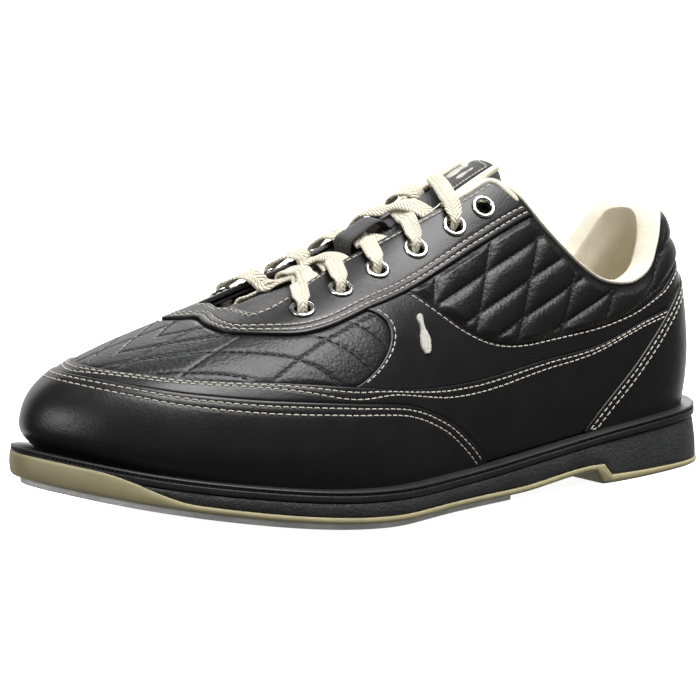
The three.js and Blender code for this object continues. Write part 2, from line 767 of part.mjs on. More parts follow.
// The collar lining rises inside the foam and rolls over the topline.
const LINING_STEPS = 30;
const liningFoot = line([0.232, 0.004], [-0.232, 0.004]);
const liningSections = [];
for (let i = 0; i <= LINING_STEPS; i += 1) {
  const t = mix(0.004, 0.996, i / LINING_STEPS);
  const [base, top] = [liningFoot(t), LINING_LINE.getPoint(t)];
  const height = surf(base.x, base.y).distanceTo(surf(top.x, top.y));
  const at = (s, rise, out, swelled = 0) => {
    const share = s + rise / height;
    const [u, v] = [mix(base.x, top.x, share), mix(base.y, top.y, share)];
    return surf(u, v, out - swelled * foamSwell(u, Math.min(v, top.y)));
  };
  const levels = [0, 0.25, 0.5, 0.75];
  liningSections.push([
    ...levels.map((s) => at(s, 0, INNER_OUT, 1)),
    at(1, 0.2, INNER_OUT, 1),
    at(1, 0.8, 0.5 * INNER_OUT, 0.5),
    at(1, 0.5, -0.6),
    at(1, 0.6, 0.3),
    at(1, ROLL_HEIGHT - 0.8, 0.2),
    at(1, ROLL_HEIGHT, 0.5 * INNER_OUT, 0.5),
    at(1, ROLL_HEIGHT - 0.6, INNER_OUT - 0.5, 0.9),
    at(1, 0.6, INNER_OUT - LINING, 1),
    ...levels.map((s) => at(s, 0, INNER_OUT - LINING, 1)).reverse(),
  ]);
}
add("collar_lining", loft(liningSections), CREAM_TEXTILE);
add(
  "vamp_lining",
  strip(stretch(EYESTAY_EDGE, 1.3, 18.7), foot(0.243, 0.757), INNER_OUT, INNER_OUT - LINING, {
    steps: 32,
    columns: 4,
  }),
  CREAM_TEXTILE,
);

// ---------------------------------------------------------------- eyestay, facing and eyelets
// Eyelet centres on the lateral side, from the toe end up; the medial row mirrors them.
const EYELETS = [
  [0.358, 0.73],
  [0.315, 0.735],
  [0.281, 0.715],
  [0.254, 0.685],
  [0.231, 0.66],
  [0.2135, 0.655],
];
const BARREL_RADIUS = EYELET_HOLE / 2 + EYELET_WALL;
const EYESTAY_OUT = layer(2);
const FACING_OUT = -LEATHER - 1.5 * GAP;
const FACING_IN = FACING_OUT - FACING;
const FLANGE_OUT = EYESTAY_OUT + GAP + 0.05;
const LOWER_FLANGE_OUT = FACING_IN - GAP - 0.55; // a flat flange under a hollow curve sits lower
const FLANGE_THICKNESS = 0.6;
const LOWER_FLANGE_THICKNESS = 0.35;
const LOWER_FLANGE = 0.6; // its width outside the barrel

const normalAt = (u, v) => surf(u, v, 1).sub(surf(u, v, 0)).normalize();
const UP = new THREE.Vector3(0, 1, 0);
const eyeletSites = SIDES.flatMap(([side]) =>
  EYELETS.map(([u, v], row) => {
    const [ownU, name] = [side === "lateral" ? u : 1 - u, `eyelet_${side}_${row + 1}`];
    const turn = new THREE.Quaternion().setFromUnitVectors(UP, normalAt(ownU, v));
    return { name, position: surf(ownU, v), turn };
  }),
);

// Cuts every eyelet's hole through a panel.
function punched(panel) {
  const hole = new THREE.CylinderGeometry(BARREL_RADIUS + GAP, BARREL_RADIUS + GAP, 16, 12);
  const cut = eyeletSites.reduce((solid, { position, turn }) => {
    const drill = hole.clone().applyQuaternion(turn).translate(position.x, position.y, position.z);
    return solid.subtract(manifoldOf(drill));
  }, manifoldOf(panel));
  return geometryOf(cut);
}

const eyestaySide = (steps, outer, inner, from, to) =>
  strip(stretch(EYESTAY_EDGE, from, 20 - from), stretch(THROAT_EDGE, to, 20 - to), outer, inner, {
    steps,
    columns: 3,
  });
add("eyestay", punched(eyestaySide(48, EYESTAY_OUT, -LEATHER, 0, 0)), BLACK_LEATHER);
add("eyestay_facing", punched(eyestaySide(44, FACING_OUT, FACING_IN, 0.9, 0.3)), BLACK_LEATHER);

const eyeletProfile = [
  [EYELET_HOLE / 2, LOWER_FLANGE_OUT - LOWER_FLANGE_THICKNESS],
  [BARREL_RADIUS + LOWER_FLANGE, LOWER_FLANGE_OUT - LOWER_FLANGE_THICKNESS],
  [BARREL_RADIUS + LOWER_FLANGE, LOWER_FLANGE_OUT],
  [BARREL_RADIUS, LOWER_FLANGE_OUT],
  [BARREL_RADIUS, FLANGE_OUT],
  [EYELET_OUTER / 2, FLANGE_OUT],
  [EYELET_OUTER / 2 - 0.5, FLANGE_OUT + FLANGE_THICKNESS],
  [EYELET_HOLE / 2, FLANGE_OUT + FLANGE_THICKNESS],
  [EYELET_HOLE / 2, LOWER_FLANGE_OUT - LOWER_FLANGE_THICKNESS],
].map(([radius, height]) => new THREE.Vector2(radius, height));
for (const { name, position, turn } of eyeletSites) {
  add(name, new THREE.LatheGeometry(eyeletProfile, 12), SILVER);
  const eyelet = shoe.getObjectByName(name);
  eyelet.position.copy(position);
  eyelet.quaternion.copy(turn);
}

// ---------------------------------------------------------------- tongue
// Across the ridge, w runs from v on the lateral side through 1 on the ridge to 2 - v on the medial.
const across = (u, w, out) => (w <= 1 ? surf(u, w, out) : surf(1 - u, 2 - w, out));
const TONGUE_OUT = -7; // under the facings
const TONGUE_PUFF = 1.9; // how far it swells up between them
const TONGUE_SHELL = 1.1;
const TONGUE_LINING = 1.0;
const TONGUE_STEPS = 20;
const TONGUE_BACK = 0.192; // u of its free end
const TONGUE_EDGE = [
  [0.192, 0.67],
  [0.207, 0.65],
  [0.233, 0.655],
  [0.262, 0.72],
  [0.293, 0.77],
  [0.333, 0.78],
  [0.37, 0.77],
  [0.406, 0.74],
  [0.45, 0.79],
  [0.5, 0.83],
];
const throatV = (u) => profile(THROAT_EDGE.points.slice(0, 11).map(({ x, y }) => [x, y]), u);
const tongueOut = (u, w) => {
  const v = Math.min(w, 2 - w);
  return TONGUE_OUT + TONGUE_PUFF * smooth(throatV(u) - 0.02, throatV(u) + 0.08, v);
};

// A layer of the tongue between two depths under its outer face, from u = from to its front end.
function tongueLayer(from, top, bottom, inset) {
  const stations = [];
  for (let k = 0; k <= TONGUE_STEPS; k += 1) stations.push(mix(from, 0.5, (k / TONGUE_STEPS) ** 0.85));
  const sections = stations.map((u) => {
    const low = Math.min(profile(TONGUE_EDGE, u) + inset, 0.95);
    const half = [0, 0.25, 0.5, 0.75].map((s) => mix(low, 1, s));
    const chainAt = (depth) => {
      const at = (w) => across(u, w, tongueOut(u, w) - depth(u, w));
      const lateral = half.map(at);
      const ridge = at(1).add(across(u, 1.0001, tongueOut(u, 1) - depth(u, 1))).divideScalar(2);
      const medial = half.map((v) => at(2 - v)).reverse();
      return [...lateral, ridge, ...medial];
    };
    return [...chainAt(top), ...chainAt(bottom).reverse()];
  });
  return loft(sections, { caps: "first" });
}
const padTop = TONGUE_SHELL + 1.5 * GAP;
const padding = (u, w) => {
  const edge = smooth(0, 0.12, Math.min(w, 2 - w) - profile(TONGUE_EDGE, u));
  return mix(1.2, TONGUE_FOAM, edge) * mix(1, 0.45, smooth(0.38, 0.5, u));
};
add("tongue_shell", tongueLayer(TONGUE_BACK, () => 0, () => TONGUE_SHELL, 0), BLACK_MESH, tongueGroup);
add(
  "tongue_padding",
  tongueLayer(TONGUE_BACK + 0.002, () => padTop, (u, w) => padTop + padding(u, w), 0.012),
  FOAM,
  tongueGroup,
);
add(
  "tongue_lining",
  tongueLayer(
    TONGUE_BACK,
    (u, w) => padTop + padding(u, w) + 1.8 * GAP,
    (u, w) => padTop + padding(u, w) + 1.8 * GAP + TONGUE_LINING,
    0,
  ),
  CREAM_TEXTILE,
  tongueGroup,
);

// A patch on the tongue: stations [u, rise over the tongue's outer face], half its width in w.
function tonguePatch(stations, halfWidth, thickness, columns) {
  const sections = stations.map(([u, rise]) => {
    const row = [];
    for (let j = 0; j <= columns; j += 1) row.push(1 - halfWidth + (2 * halfWidth * j) / columns);
    const at = (w, out) => across(u, w === 1 ? 0.9999 : w, tongueOut(u, 1) + rise + out);
    return [...row.map((w) => at(w, thickness)), ...row.map((w) => at(w, 0)).reverse()];
  });
  return loft(sections);
}
const LABEL_FROM = TONGUE_BACK + 0.004;
const perStation = LENGTH * (STATION[4] - STATION[3]) * 16; // millimetres along the foot per unit of u
const labelStations = [0, 0.25, 0.5, 0.75, 1].map((s) => [
  LABEL_FROM + (s * LABEL_LENGTH) / perStation,
  GAP,
]);
add("tongue_label", tonguePatch(labelStations, 0.14, 0.6, 8), BLACK_MESH, tongueGroup);

// ---------------------------------------------------------------- lace
const LACE_SLACK = 1.3; // between the lace and the tongue below it
// Heights of the lace's centre: on the tongue, where it crosses over itself, and under the facings.
const LACE_LOW = TONGUE_OUT + TONGUE_PUFF + LACE_SLACK + LACE_THICKNESS / 2;
const LACE_HIGH = LACE_LOW + LACE_THICKNESS + GAP;
const LACE_TUCKED = TONGUE_OUT + LACE_SLACK + LACE_THICKNESS / 2;
const LACE_ON_LABEL = LACE_LOW + 1.4;
const LACE_ON_FLANGE = FLANGE_OUT + FLANGE_THICKNESS + GAP + LACE_THICKNESS / 2;
const NARROW_WIDTH = 3.8; // gathered in an eyelet
const NARROW_THICKNESS = 1.8;

const eyeletOn = (side, row) => {
  const [u, v] = EYELETS[row - 1];
  return { u, w: side === "lateral" ? v : 2 - v };
};
const scaleAcross = (u, w) => across(u, w - 0.005, 0).distanceTo(across(u, w + 0.005, 0)) / 0.01;

// A waypoint { u, w, out } on the straight way between two places either side of the throat.
function wayPoint(from, to, w, mm, out) {
  const towards = Math.sign(to.w - from.w);
  const moved = w + (towards * mm) / scaleAcross(from.u, w);
  return { u: mix(from.u, to.u, clamp((moved - from.w) / (to.w - from.w), 0, 1)), w: moved, out };
}
const throatOf = ({ u, w }) => (w < 1 ? throatV(u) : 2 - throatV(u));
const overEdge = (from, to) => [
  { ...wayPoint(from, to, from.w, 1, LACE_ON_FLANGE + 0.1), narrow: 1 },
  wayPoint(from, to, from.w, 4.8, LACE_ON_FLANGE + 0.6),
  wayPoint(from, to, throatOf(from), -0.6, 3.3),
  wayPoint(from, to, throatOf(from), 2, 1.5),
];
const underEdge = (from, to) => [
  { ...wayPoint(from, to, from.w, 0.9, LACE_TUCKED - 0.25), narrow: 1 },
  wayPoint(from, to, from.w, 5, LACE_TUCKED),
  wayPoint(from, to, throatOf(from), 0.5, LACE_TUCKED + 0.65),
];

// The lace from one side of the throat to the other, over the eyestay or under the facing at each end.
function crossing(from, to, leave, arrive, middle) {
  const level = [-0.085, 0, 0.085].map((w) => wayPoint(from, to, 1 + w * Math.sign(to.w - from.w), 0, middle));
  return [...leave(from, to), ...level, ...arrive(to, from).reverse()];
}
const inBarrel = ({ u, w }) => ({ u, w, out: -0.6, narrow: 1 });

// One end of the lace, from the lowest eyelet up: under, then over, each time to the other side.
function strand(sides, middle) {
  const stops = sides.map((side, index) => eyeletOn(side, index + 1));
  const path = [inBarrel(stops[0])];
  for (let i = 1; i < stops.length; i += 1) {
    const leave = i === 1 ? underEdge : overEdge;
    path.push(...crossing(stops[i - 1], stops[i], leave, underEdge, middle), inBarrel(stops[i]));
  }
  return path;
}

const strandA = strand(["lateral", "medial", "lateral", "medial", "lateral"], LACE_HIGH);
const strandB = strand(["medial", "lateral", "medial", "lateral", "medial"], LACE_LOW);
const lowestBar = crossing(eyeletOn("lateral", 1), eyeletOn("medial", 1), overEdge, overEdge, LACE_LOW);
// One end crosses to the medial side and goes under the facing, the other folds back under its edge.
const tuckA = { u: 0.2105, w: 2 - 0.7 };
const tailA = [
  ...crossing(eyeletOn("lateral", 5), tuckA, overEdge, underEdge, LACE_ON_LABEL),
  { ...tuckA, out: LACE_TUCKED },
];
const tuckB = { u: 0.2225, w: 2 - 0.7 };
const foldAt = (u, mm, out) => {
  const edge = { u, w: 2 - throatV(u) };
  return wayPoint(edge, { u, w: 1 }, edge.w, mm, out);
};
const tailB = [
  ...overEdge(eyeletOn("medial", 5), { u: 0.228, w: 1 }).slice(0, 3),
  foldAt(0.2265, 1.9, 1.4),
  foldAt(0.225, 3, -1.2),
  foldAt(0.224, 1.4, LACE_TUCKED + 1.2),
  foldAt(0.223, -2.5, LACE_TUCKED),
  { ...tuckB, out: LACE_TUCKED },
];
const lacePath = [...strandA, ...tailA].reverse().concat(lowestBar, strandB, tailB);

// A flat ribbon through waypoints, its width kept along the foot. It narrows where they say so.
function ribbon(path, width, thickness, longest = 9) {
  const places = path.map(({ u, w, out }) => across(u, w, out));
  const alongFoot = path.map(({ u, w }) => across(u + 0.004, w, 0).sub(across(u - 0.004, w, 0)).normalize());
  const curve = new THREE.CatmullRomCurve3(places, false, "centripetal");
  const stops = [];
  places.forEach((place, i) => {
    const parts = i === 0 ? 1 : Math.ceil(place.distanceTo(places[i - 1]) / longest);
    for (let k = 1; k <= parts; k += 1) stops.push(i - 1 + k / parts);
  });
  const spans = places.length - 1;
  const sections = stops.map((stop) => {
    const centre = curve.getPoint(stop / spans);
    const tangent = curve.getTangent(stop / spans);
    const [before, after] = [Math.floor(stop), Math.min(Math.floor(stop) + 1, spans)];
    const along = alongFoot[before].clone().lerp(alongFoot[after], stop - before);
    const side = along.addScaledVector(tangent, -along.dot(tangent)).normalize();
    const face = tangent.clone().cross(side);
    const narrow = mix(path[before].narrow ?? 0, path[after].narrow ?? 0, stop - before);
    const half = mix(width, NARROW_WIDTH, narrow) / 2;
    const thick = mix(thickness, NARROW_THICKNESS, narrow) / 2;
    const corners = [[1, 0.4], [0.8, 1], [-0.8, 1], [-1, 0.4], [-1, -0.4], [-0.8, -1], [0.8, -1], [1, -0.4]];
    return corners.map(([a, b]) =>
      centre.clone().addScaledVector(side, a * half).addScaledVector(face, b * thick),
    );
  });
  return loft(sections);
}
add("lace", ribbon(lacePath, LACE_WIDTH, LACE_THICKNESS), CREAM_LACE);

// Aglets carry on from the two tucked ends, under the medial facing.
const AGLET_LENGTH = 12;
const AGLET_GAP = 1.2;
const agletAfter = (end, from) =>
  [AGLET_GAP, AGLET_LENGTH / 2, AGLET_LENGTH].map((mm) => wayPoint(end, from, end.w, -mm, LACE_TUCKED));
add("aglet_a", ribbon(agletAfter(tuckA, eyeletOn("lateral", 5)), 3.2, 1.4), SILVER);
add("aglet_b", ribbon(agletAfter(tuckB, { u: tuckB.u, w: 1 }), 3.2, 1.4), SILVER);

// The keeper: a webbing strap on the tongue that the lace passes under at its third crossing.
const KEEPER_ROOM = 2.3; // over the lace
const KEEPER_RISE = LACE_HIGH + LACE_THICKNESS / 2 + KEEPER_ROOM - (TONGUE_OUT + TONGUE_PUFF);
const keeperStations = [
  [0.2485, GAP],
  [0.2535, GAP],
  [0.2555, KEEPER_RISE - 0.3],
  [0.26, KEEPER_RISE],
  [0.275, KEEPER_RISE],
  [0.2795, KEEPER_RISE - 0.3],
  [0.2815, GAP],
  [0.2865, GAP],
];
const KEEPER_HALF = KEEPER_WIDTH / 2 / 95; // in w: the tongue is 95 mm across per unit of w here
add("lace_keeper", tonguePatch(keeperStations, KEEPER_HALF, 0.8, 4), BLACK_MESH, tongueGroup);

// ---------------------------------------------------------------- emblems
// A bowling pin on each side: [height, half width] as shares of its height.
const EMBLEM_CENTRE = [0.268, 0.395];
const PIN = [
  [0, 0.1],
  [0.1, 0.15],
  [0.28, 0.19],
  [0.45, 0.15],
  [0.62, 0.08],
  [0.74, 0.075],
  [0.86, 0.105],
  [0.95, 0.085],
  [1, 0.04],
];
const EMBLEM_OUT = layer(1) + GAP;
for (const [side, on] of SIDES) {
  const [u0, v0] = EMBLEM_CENTRE;
  const alongScale = surf(u0 - 0.005, v0).distanceTo(surf(u0 + 0.005, v0)) / 0.01;
  const upScale = surf(u0, v0 - 0.005).distanceTo(surf(u0, v0 + 0.005)) / 0.01;
  const sections = PIN.map(([height, half]) => {
    const v = v0 + ((height - 0.5) * EMBLEM_HEIGHT) / upScale;
    const place = (share, out) => {
      const flat = on(() => new THREE.Vector2(u0 + (share * half * EMBLEM_HEIGHT) / alongScale, v))(0);
      return surf(flat.x, flat.y, out);
    };
    return [place(-1, EMBLEM_OUT + 0.5), place(1, EMBLEM_OUT + 0.5), place(1, EMBLEM_OUT), place(-1, EMBLEM_OUT)];
  });
  add("emblem_" + side, loft(sections), WHITE_THREAD);
}

// ---------------------------------------------------------------- placement
// The origin moves to the bottom centre of the whole shoe.
shoe.add(tongueGroup);
shoe.updateMatrixWorld(true);
const bounds = new THREE.Box3();
shoe.traverse((part) => part.isMesh && bounds.expandByObject(part, true));
shoe.position.set(
  -(bounds.min.x + bounds.max.x) / 2,
  -(bounds.min.y + bounds.max.y) / 2,
  -bounds.min.z,
);
export default shoe;
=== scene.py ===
import math

import bpy
import numpy as np
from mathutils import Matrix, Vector


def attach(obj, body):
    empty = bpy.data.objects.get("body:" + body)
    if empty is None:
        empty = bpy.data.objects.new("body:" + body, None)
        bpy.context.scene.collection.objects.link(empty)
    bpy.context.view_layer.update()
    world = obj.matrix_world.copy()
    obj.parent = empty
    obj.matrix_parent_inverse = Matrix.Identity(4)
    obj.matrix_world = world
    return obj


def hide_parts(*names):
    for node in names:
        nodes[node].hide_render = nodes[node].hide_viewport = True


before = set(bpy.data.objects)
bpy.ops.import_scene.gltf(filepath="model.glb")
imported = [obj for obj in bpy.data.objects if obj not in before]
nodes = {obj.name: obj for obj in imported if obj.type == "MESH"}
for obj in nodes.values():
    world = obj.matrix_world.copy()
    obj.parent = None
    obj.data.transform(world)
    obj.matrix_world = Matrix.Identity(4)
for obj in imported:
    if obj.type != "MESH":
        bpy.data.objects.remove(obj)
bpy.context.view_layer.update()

# ---- the shoe's own curves, in millimetres
SHIFT = np.array([-150.55, -2.525, 0.0])  # from the curves' frame to the row frame
LENGTH, HEEL_WIDTH, WAIST_WIDTH, BALL_WIDTH = 302.0, 70.0, 70.0, 101.0
ANKLE_CROWN, INSTEP_CROWN, TOE_CROWN = 130.0, 99.0, 65.0
HEEL_SEAT_Z, BALL_Z, TOE_Z, TOE_SPRING = 23.5, 15.5, 33.5, 20.0
GAP = 0.3
WELT_LEDGE, WELT_HEIGHT, SEAT_GAP, FEATHER_TUCK = 4.0, 4.2, 0.5, 0.05
LEVELS = [0.0, 0.55, 1.05, 1.55]  # outer face of each layer of overlay
TOE_TIP_Y = -10.0


def metres(points):
    return (np.asarray(points) + SHIFT) * 0.001


def mix(a, b, t):
    return a + (b - a) * t


def smooth(low, high, x):
    t = np.clip((x - low) / (high - low), 0, 1)
    return t * t * (3 - 2 * t)


def soft_min(a, b, k):
    h = np.clip(0.5 + 0.5 * (b - a) / k, 0, 1)
    return b + (a - b) * h - k * h * (1 - h)


def soft_max(a, b, k):
    return -soft_min(-a, -b, k)


def unit(vectors):
    return vectors / np.maximum(np.linalg.norm(vectors, axis=-1, keepdims=True), 1e-9)


def run_along(points):
    """Distance from the first of a row of points to each of them, along the row."""
    return np.concatenate([[0], np.cumsum(np.linalg.norm(np.diff(points, axis=0), axis=1))])


def catmull(a, b, c, d, t):
    """Catmull-Rom curve from b to c."""
    return 0.5 * (2 * b + (c - a) * t + (2 * a - 5 * b + 4 * c - d) * t**2 + (3 * b - a - 3 * c + d) * t**3)


def ring_value(values, u):
    """Smooth closed curve through evenly spaced values, once round for u from 0 to 1."""
    values = np.asarray(values, float)
    n = len(values)
    s = np.mod(u, 1.0) * n
    i = np.floor(s).astype(int)
    return catmull(*(values[(i + k) % n] for k in (-1, 0, 1, 2)), s - i)


def profile(points, x):
    """Smooth height over x through (x, height) points, level beyond the first and the last."""
    px, py = np.asarray(points, float).T
    h = np.diff(px)
    d = np.diff(py) / h
    slope = np.empty(len(px))
    slope[0], slope[-1] = d[0], d[-1]
    slope[1:-1] = (h[1:] * d[:-1] + h[:-1] * d[1:]) / (h[:-1] + h[1:])
    xc = np.clip(x, px[0], px[-1])
    i = np.clip(np.searchsorted(px, xc, side="right") - 1, 0, len(px) - 2)
    t = (xc - px[i]) / h[i]
    return (
        (2 * t**3 - 3 * t**2 + 1) * py[i]
        + (t**3 - 2 * t**2 + t) * h[i] * slope[i]
        + (3 * t**2 - 2 * t**3) * py[i + 1]
        + (t**3 - t**2) * h[i] * slope[i + 1]
    )


def around(lateral, medial):
    return list(lateral) + list(medial[1:-1])[::-1]


STATION = [0, 0.04, 0.149, 0.315, 0.48, 0.629, 0.768, 0.925, 1]
LATERAL = [
    0, 0.34 * HEEL_WIDTH, 0.49 * HEEL_WIDTH, 0.557 * WAIST_WIDTH, 0.46 * BALL_WIDTH,
    0.555 * BALL_WIDTH, 0.5 * BALL_WIDTH, 0.277 * BALL_WIDTH, TOE_TIP_Y,
]
MEDIAL = [
    0, -0.357 * HEEL_WIDTH, -0.507 * HEEL_WIDTH, -0.443 * WAIST_WIDTH, -0.337 * BALL_WIDTH,
    -0.426 * BALL_WIDTH, -0.505 * BALL_WIDTH, -0.436 * BALL_WIDTH, TOE_TIP_Y,
]
RING_X = np.array(around(STATION, STATION)) * LENGTH
RING_Y = np.array(around(LATERAL, MEDIAL))
BOXINESS = [2.6, 2.6, 2.5, 2.3, 2.2, 2.4, 2.8, 3.2, 3.4]
RING_BOXINESS = around(BOXINESS, BOXINESS)
HEEL_POLE, TOE_POLE = 0.205 * LENGTH, 0.616 * LENGTH


def ring_point(u):
    return np.stack([ring_value(RING_X, u), ring_value(RING_Y, u)], -1)


def outline(u, out=0.0):
    """The sole's outline in plan, moved outwards."""
    along = unit(ring_point(u + 1e-4) - ring_point(u - 1e-4))
    normal = np.stack([-along[..., 1], along[..., 0]], -1)
    return ring_point(u) + normal * np.asarray(out)[..., None]


def line_of(pairs):
    return [(share * LENGTH, z) for share, z in pairs]


WELT_LINE = line_of([
    (0, HEEL_SEAT_Z), (0.2, HEEL_SEAT_Z - 2.5), (0.33, mix(BALL_Z, HEEL_SEAT_Z, 0.25)), (0.5, BALL_Z - 1),
    (0.66, BALL_Z + 0.5), (0.795, mix(BALL_Z, TOE_Z, 0.3)), (0.91, mix(BALL_Z, TOE_Z, 0.64)), (1, TOE_Z),
])
RIDGE_LINE = line_of([
    (0, ANKLE_CROWN - 4), (0.1, ANKLE_CROWN - 3), (0.205, ANKLE_CROWN), (0.315, ANKLE_CROWN),
    (0.414, mix(INSTEP_CROWN, ANKLE_CROWN, 0.61)), (0.53, INSTEP_CROWN),
    (0.63, mix(TOE_CROWN, INSTEP_CROWN, 0.62)), (0.73, mix(TOE_CROWN, INSTEP_CROWN, 0.32)),
    (0.83, mix(TOE_CROWN, INSTEP_CROWN, 0.13)), (0.91, TOE_CROWN + 1.5), (1, TOE_CROWN),
])


def welt_z(x):
    return profile(WELT_LINE, x)


def last(u, v):
    """The last's surface: u runs round it from the heel, v from the welt, 0, to the ridge, 1."""
    base = outline(u, np.full(np.shape(u), -WELT_LEDGE))
    bx, by = base[..., 0], base[..., 1]
    x0 = soft_max(soft_min(bx, TOE_POLE, 40), HEEL_POLE, 30)
    y0 = -6 * smooth(0.13, 0.66, x0 / LENGTH)
    angle = v * math.pi / 2
    power = 2 / ring_value(RING_BOXINESS, u)
    rise = np.maximum(np.sin(angle), 0) ** power
    spread = np.maximum(np.cos(angle), 0) ** power - FEATHER_TUCK * np.clip(1 - rise / 0.25, 0, 1) ** 2
    x = mix(x0, bx, spread)
    foot = welt_z(bx) + SEAT_GAP
    return np.stack([x, mix(y0, by, spread), mix(foot, profile(RIDGE_LINE, x), rise)], -1)


def surf(u, v, out=0.0):
    """A point that far outside the last's surface."""
    u, v = np.broadcast_arrays(np.asarray(u, float), np.asarray(v, float))
    low, high = np.maximum(v - 2e-3, 1e-4), np.minimum(v + 2e-3, 0.996)
    held = np.minimum(v, 0.994)
    side = last(u + 1e-3, held) - last(u - 1e-3, held)
    up = last(u, np.maximum(high, low + 2e-3)) - last(u, np.minimum(low, 0.994))
    return last(u, v) + unit(np.cross(up, side)) * np.broadcast_to(out, u.shape)[..., None]


def normal_at(u, v):
    return surf(u, v, 1.0) - surf(u, v, 0.0)


def across(u, w, out):
    """As surf, over the ridge: w runs from v on the lateral side through 1 to 2 - v on the medial side."""
    u, w, out = np.broadcast_arrays(np.asarray(u, float), np.asarray(w, float), np.asarray(out, float))
    lateral = surf(u, np.clip(w, 0, 1), out)
    medial = surf(1 - u, np.clip(2 - w, 0, 1), out)
    return np.where((w <= 1)[..., None], lateral, medial)


def normal_across(u, w):
    return across(u, w, 1.0) - across(u, w, 0.0)


# ---- seams
class Seam:
    """A line on the last through (u, v) points and their mirror images. Its parameter counts points."""

    def __init__(self, lateral, middle=0.5):
        medial = [(2 * middle - u, v) for u, v in reversed(lateral[:-1])]
        self.points = np.array(list(lateral) + medial, float)
        self.last = len(self.points) - 1

    def at(self, s):
        p, n = self.points, len(self.points)
        s = np.clip(np.asarray(s, float), 0, n - 1)
        i = np.minimum(np.floor(s).astype(int), n - 2)
        return catmull(*(p[np.clip(i + k, 0, n - 1)] for k in (-1, 0, 1, 2)), (s - i)[..., None])


def stretch(curve, start, end):
    return lambda t: curve.at(mix(start, end, t))


def chain(first, second, share):
    """One edge after another. The first takes that share of the way."""
    def edge(t):
        rest = np.maximum((t - share) / (1 - share), 0)
        return np.where((t < share)[..., None], first(np.minimum(t / share, 1)), second(rest))

    return edge


def line(start, end):
    return lambda t: mix(np.array(start, float), np.array(end, float), np.asarray(t)[..., None])


def medial_of(edge):
    return lambda t: edge(t) * np.array([-1.0, 1.0]) + np.array([1.0, 0.0])


SIDES = (("lateral", lambda edge: edge), ("medial", medial_of))


def foot(start, end):
    return line((start, 0), (end, 0))


EYESTAY_EDGE = Seam([
    (0.189, 0.535), (0.212, 0.535), (0.243, 0.545), (0.276, 0.565), (0.303, 0.587), (0.34, 0.59),
    (0.368, 0.615), (0.406, 0.705), (0.445, 0.8), (0.478, 0.86), (0.5, 0.875),
])
THROAT_EDGE = Seam([
    (0.206, 0.745), (0.22, 0.75), (0.24, 0.785), (0.268, 0.84), (0.3, 0.875), (0.335, 0.88),
    (0.37, 0.86), (0.406, 0.83), (0.43, 0.87), (0.46, 0.908), (0.5, 0.918),
])
FOXING_EDGE = Seam([
    (0.09, 0.192), (0.119, 0.178), (0.157, 0.15), (0.19, 0.158), (0.224, 0.178), (0.25, 0.203),
    (0.293, 0.255), (0.326, 0.302), (0.37, 0.36), (0.411, 0.412), (0.453, 0.467), (0.5, 0.5),
])
MUDGUARD_EDGE = Seam([
    (0.2295, 0), (0.243, 0.06), (0.261, 0.13), (0.289, 0.2), (0.331, 0.245), (0.382, 0.287),
    (0.415, 0.332), (0.447, 0.38), (0.475, 0.41), (0.5, 0.42),
])
COUNTER_EDGE = Seam([
    (0.165, 0), (0.1475, 0.045), (0.1275, 0.096), (0.109, 0.144), (0.09, 0.192), (0.068, 0.232),
    (0.036, 0.26), (0, 0.27),
], 0)
SADDLE_TOP = Seam([
    (0.2675, 0.553), (0.25, 0.4), (0.236, 0.31), (0.22, 0.247), (0.2, 0.207), (0.175, 0.19),
    (0.15, 0.187), (0.124, 0.203), (0.099, 0.236), (0.075, 0.275), (0.04, 0.313), (0, 0.325),
], 0)
TOPLINE_POINTS = [
    (0.189, 0.535), (0.181, 0.465), (0.171, 0.39), (0.16, 0.33), (0.149, 0.292), (0.135, 0.274),
    (0.122, 0.277), (0.107, 0.306), (0.092, 0.37), (0.07, 0.45), (0.038, 0.505), (0, 0.52),
]
TOPLINE = Seam(TOPLINE_POINTS, 0)
LINING_LINE = Seam([(0.2012, 0.71), (0.1935, 0.62), (0.1875, 0.535)] + TOPLINE_POINTS[1:], 0)
FRONT_FOOT, FRONT_HEAD = np.array([0.326, 0.302]), np.array([0.303, 0.587])
FRONT_BOW = np.array([-0.022, -0.012])  # how far the saddle's front edge bows from its chord


def saddle_front(t):
    t = np.asarray(t)[..., None]
    return mix(FRONT_FOOT, FRONT_HEAD, t) + 4 * t * (1 - t) * FRONT_BOW


def vamp_bow(t):
    """The vamp's two ends follow the saddles' front edges."""
    near, far = 1 - smooth(0, 0.16, t), smooth(0.84, 1, t)
    return np.stack([(near - far) * FRONT_BOW[0], (near + far) * FRONT_BOW[1]], -1)


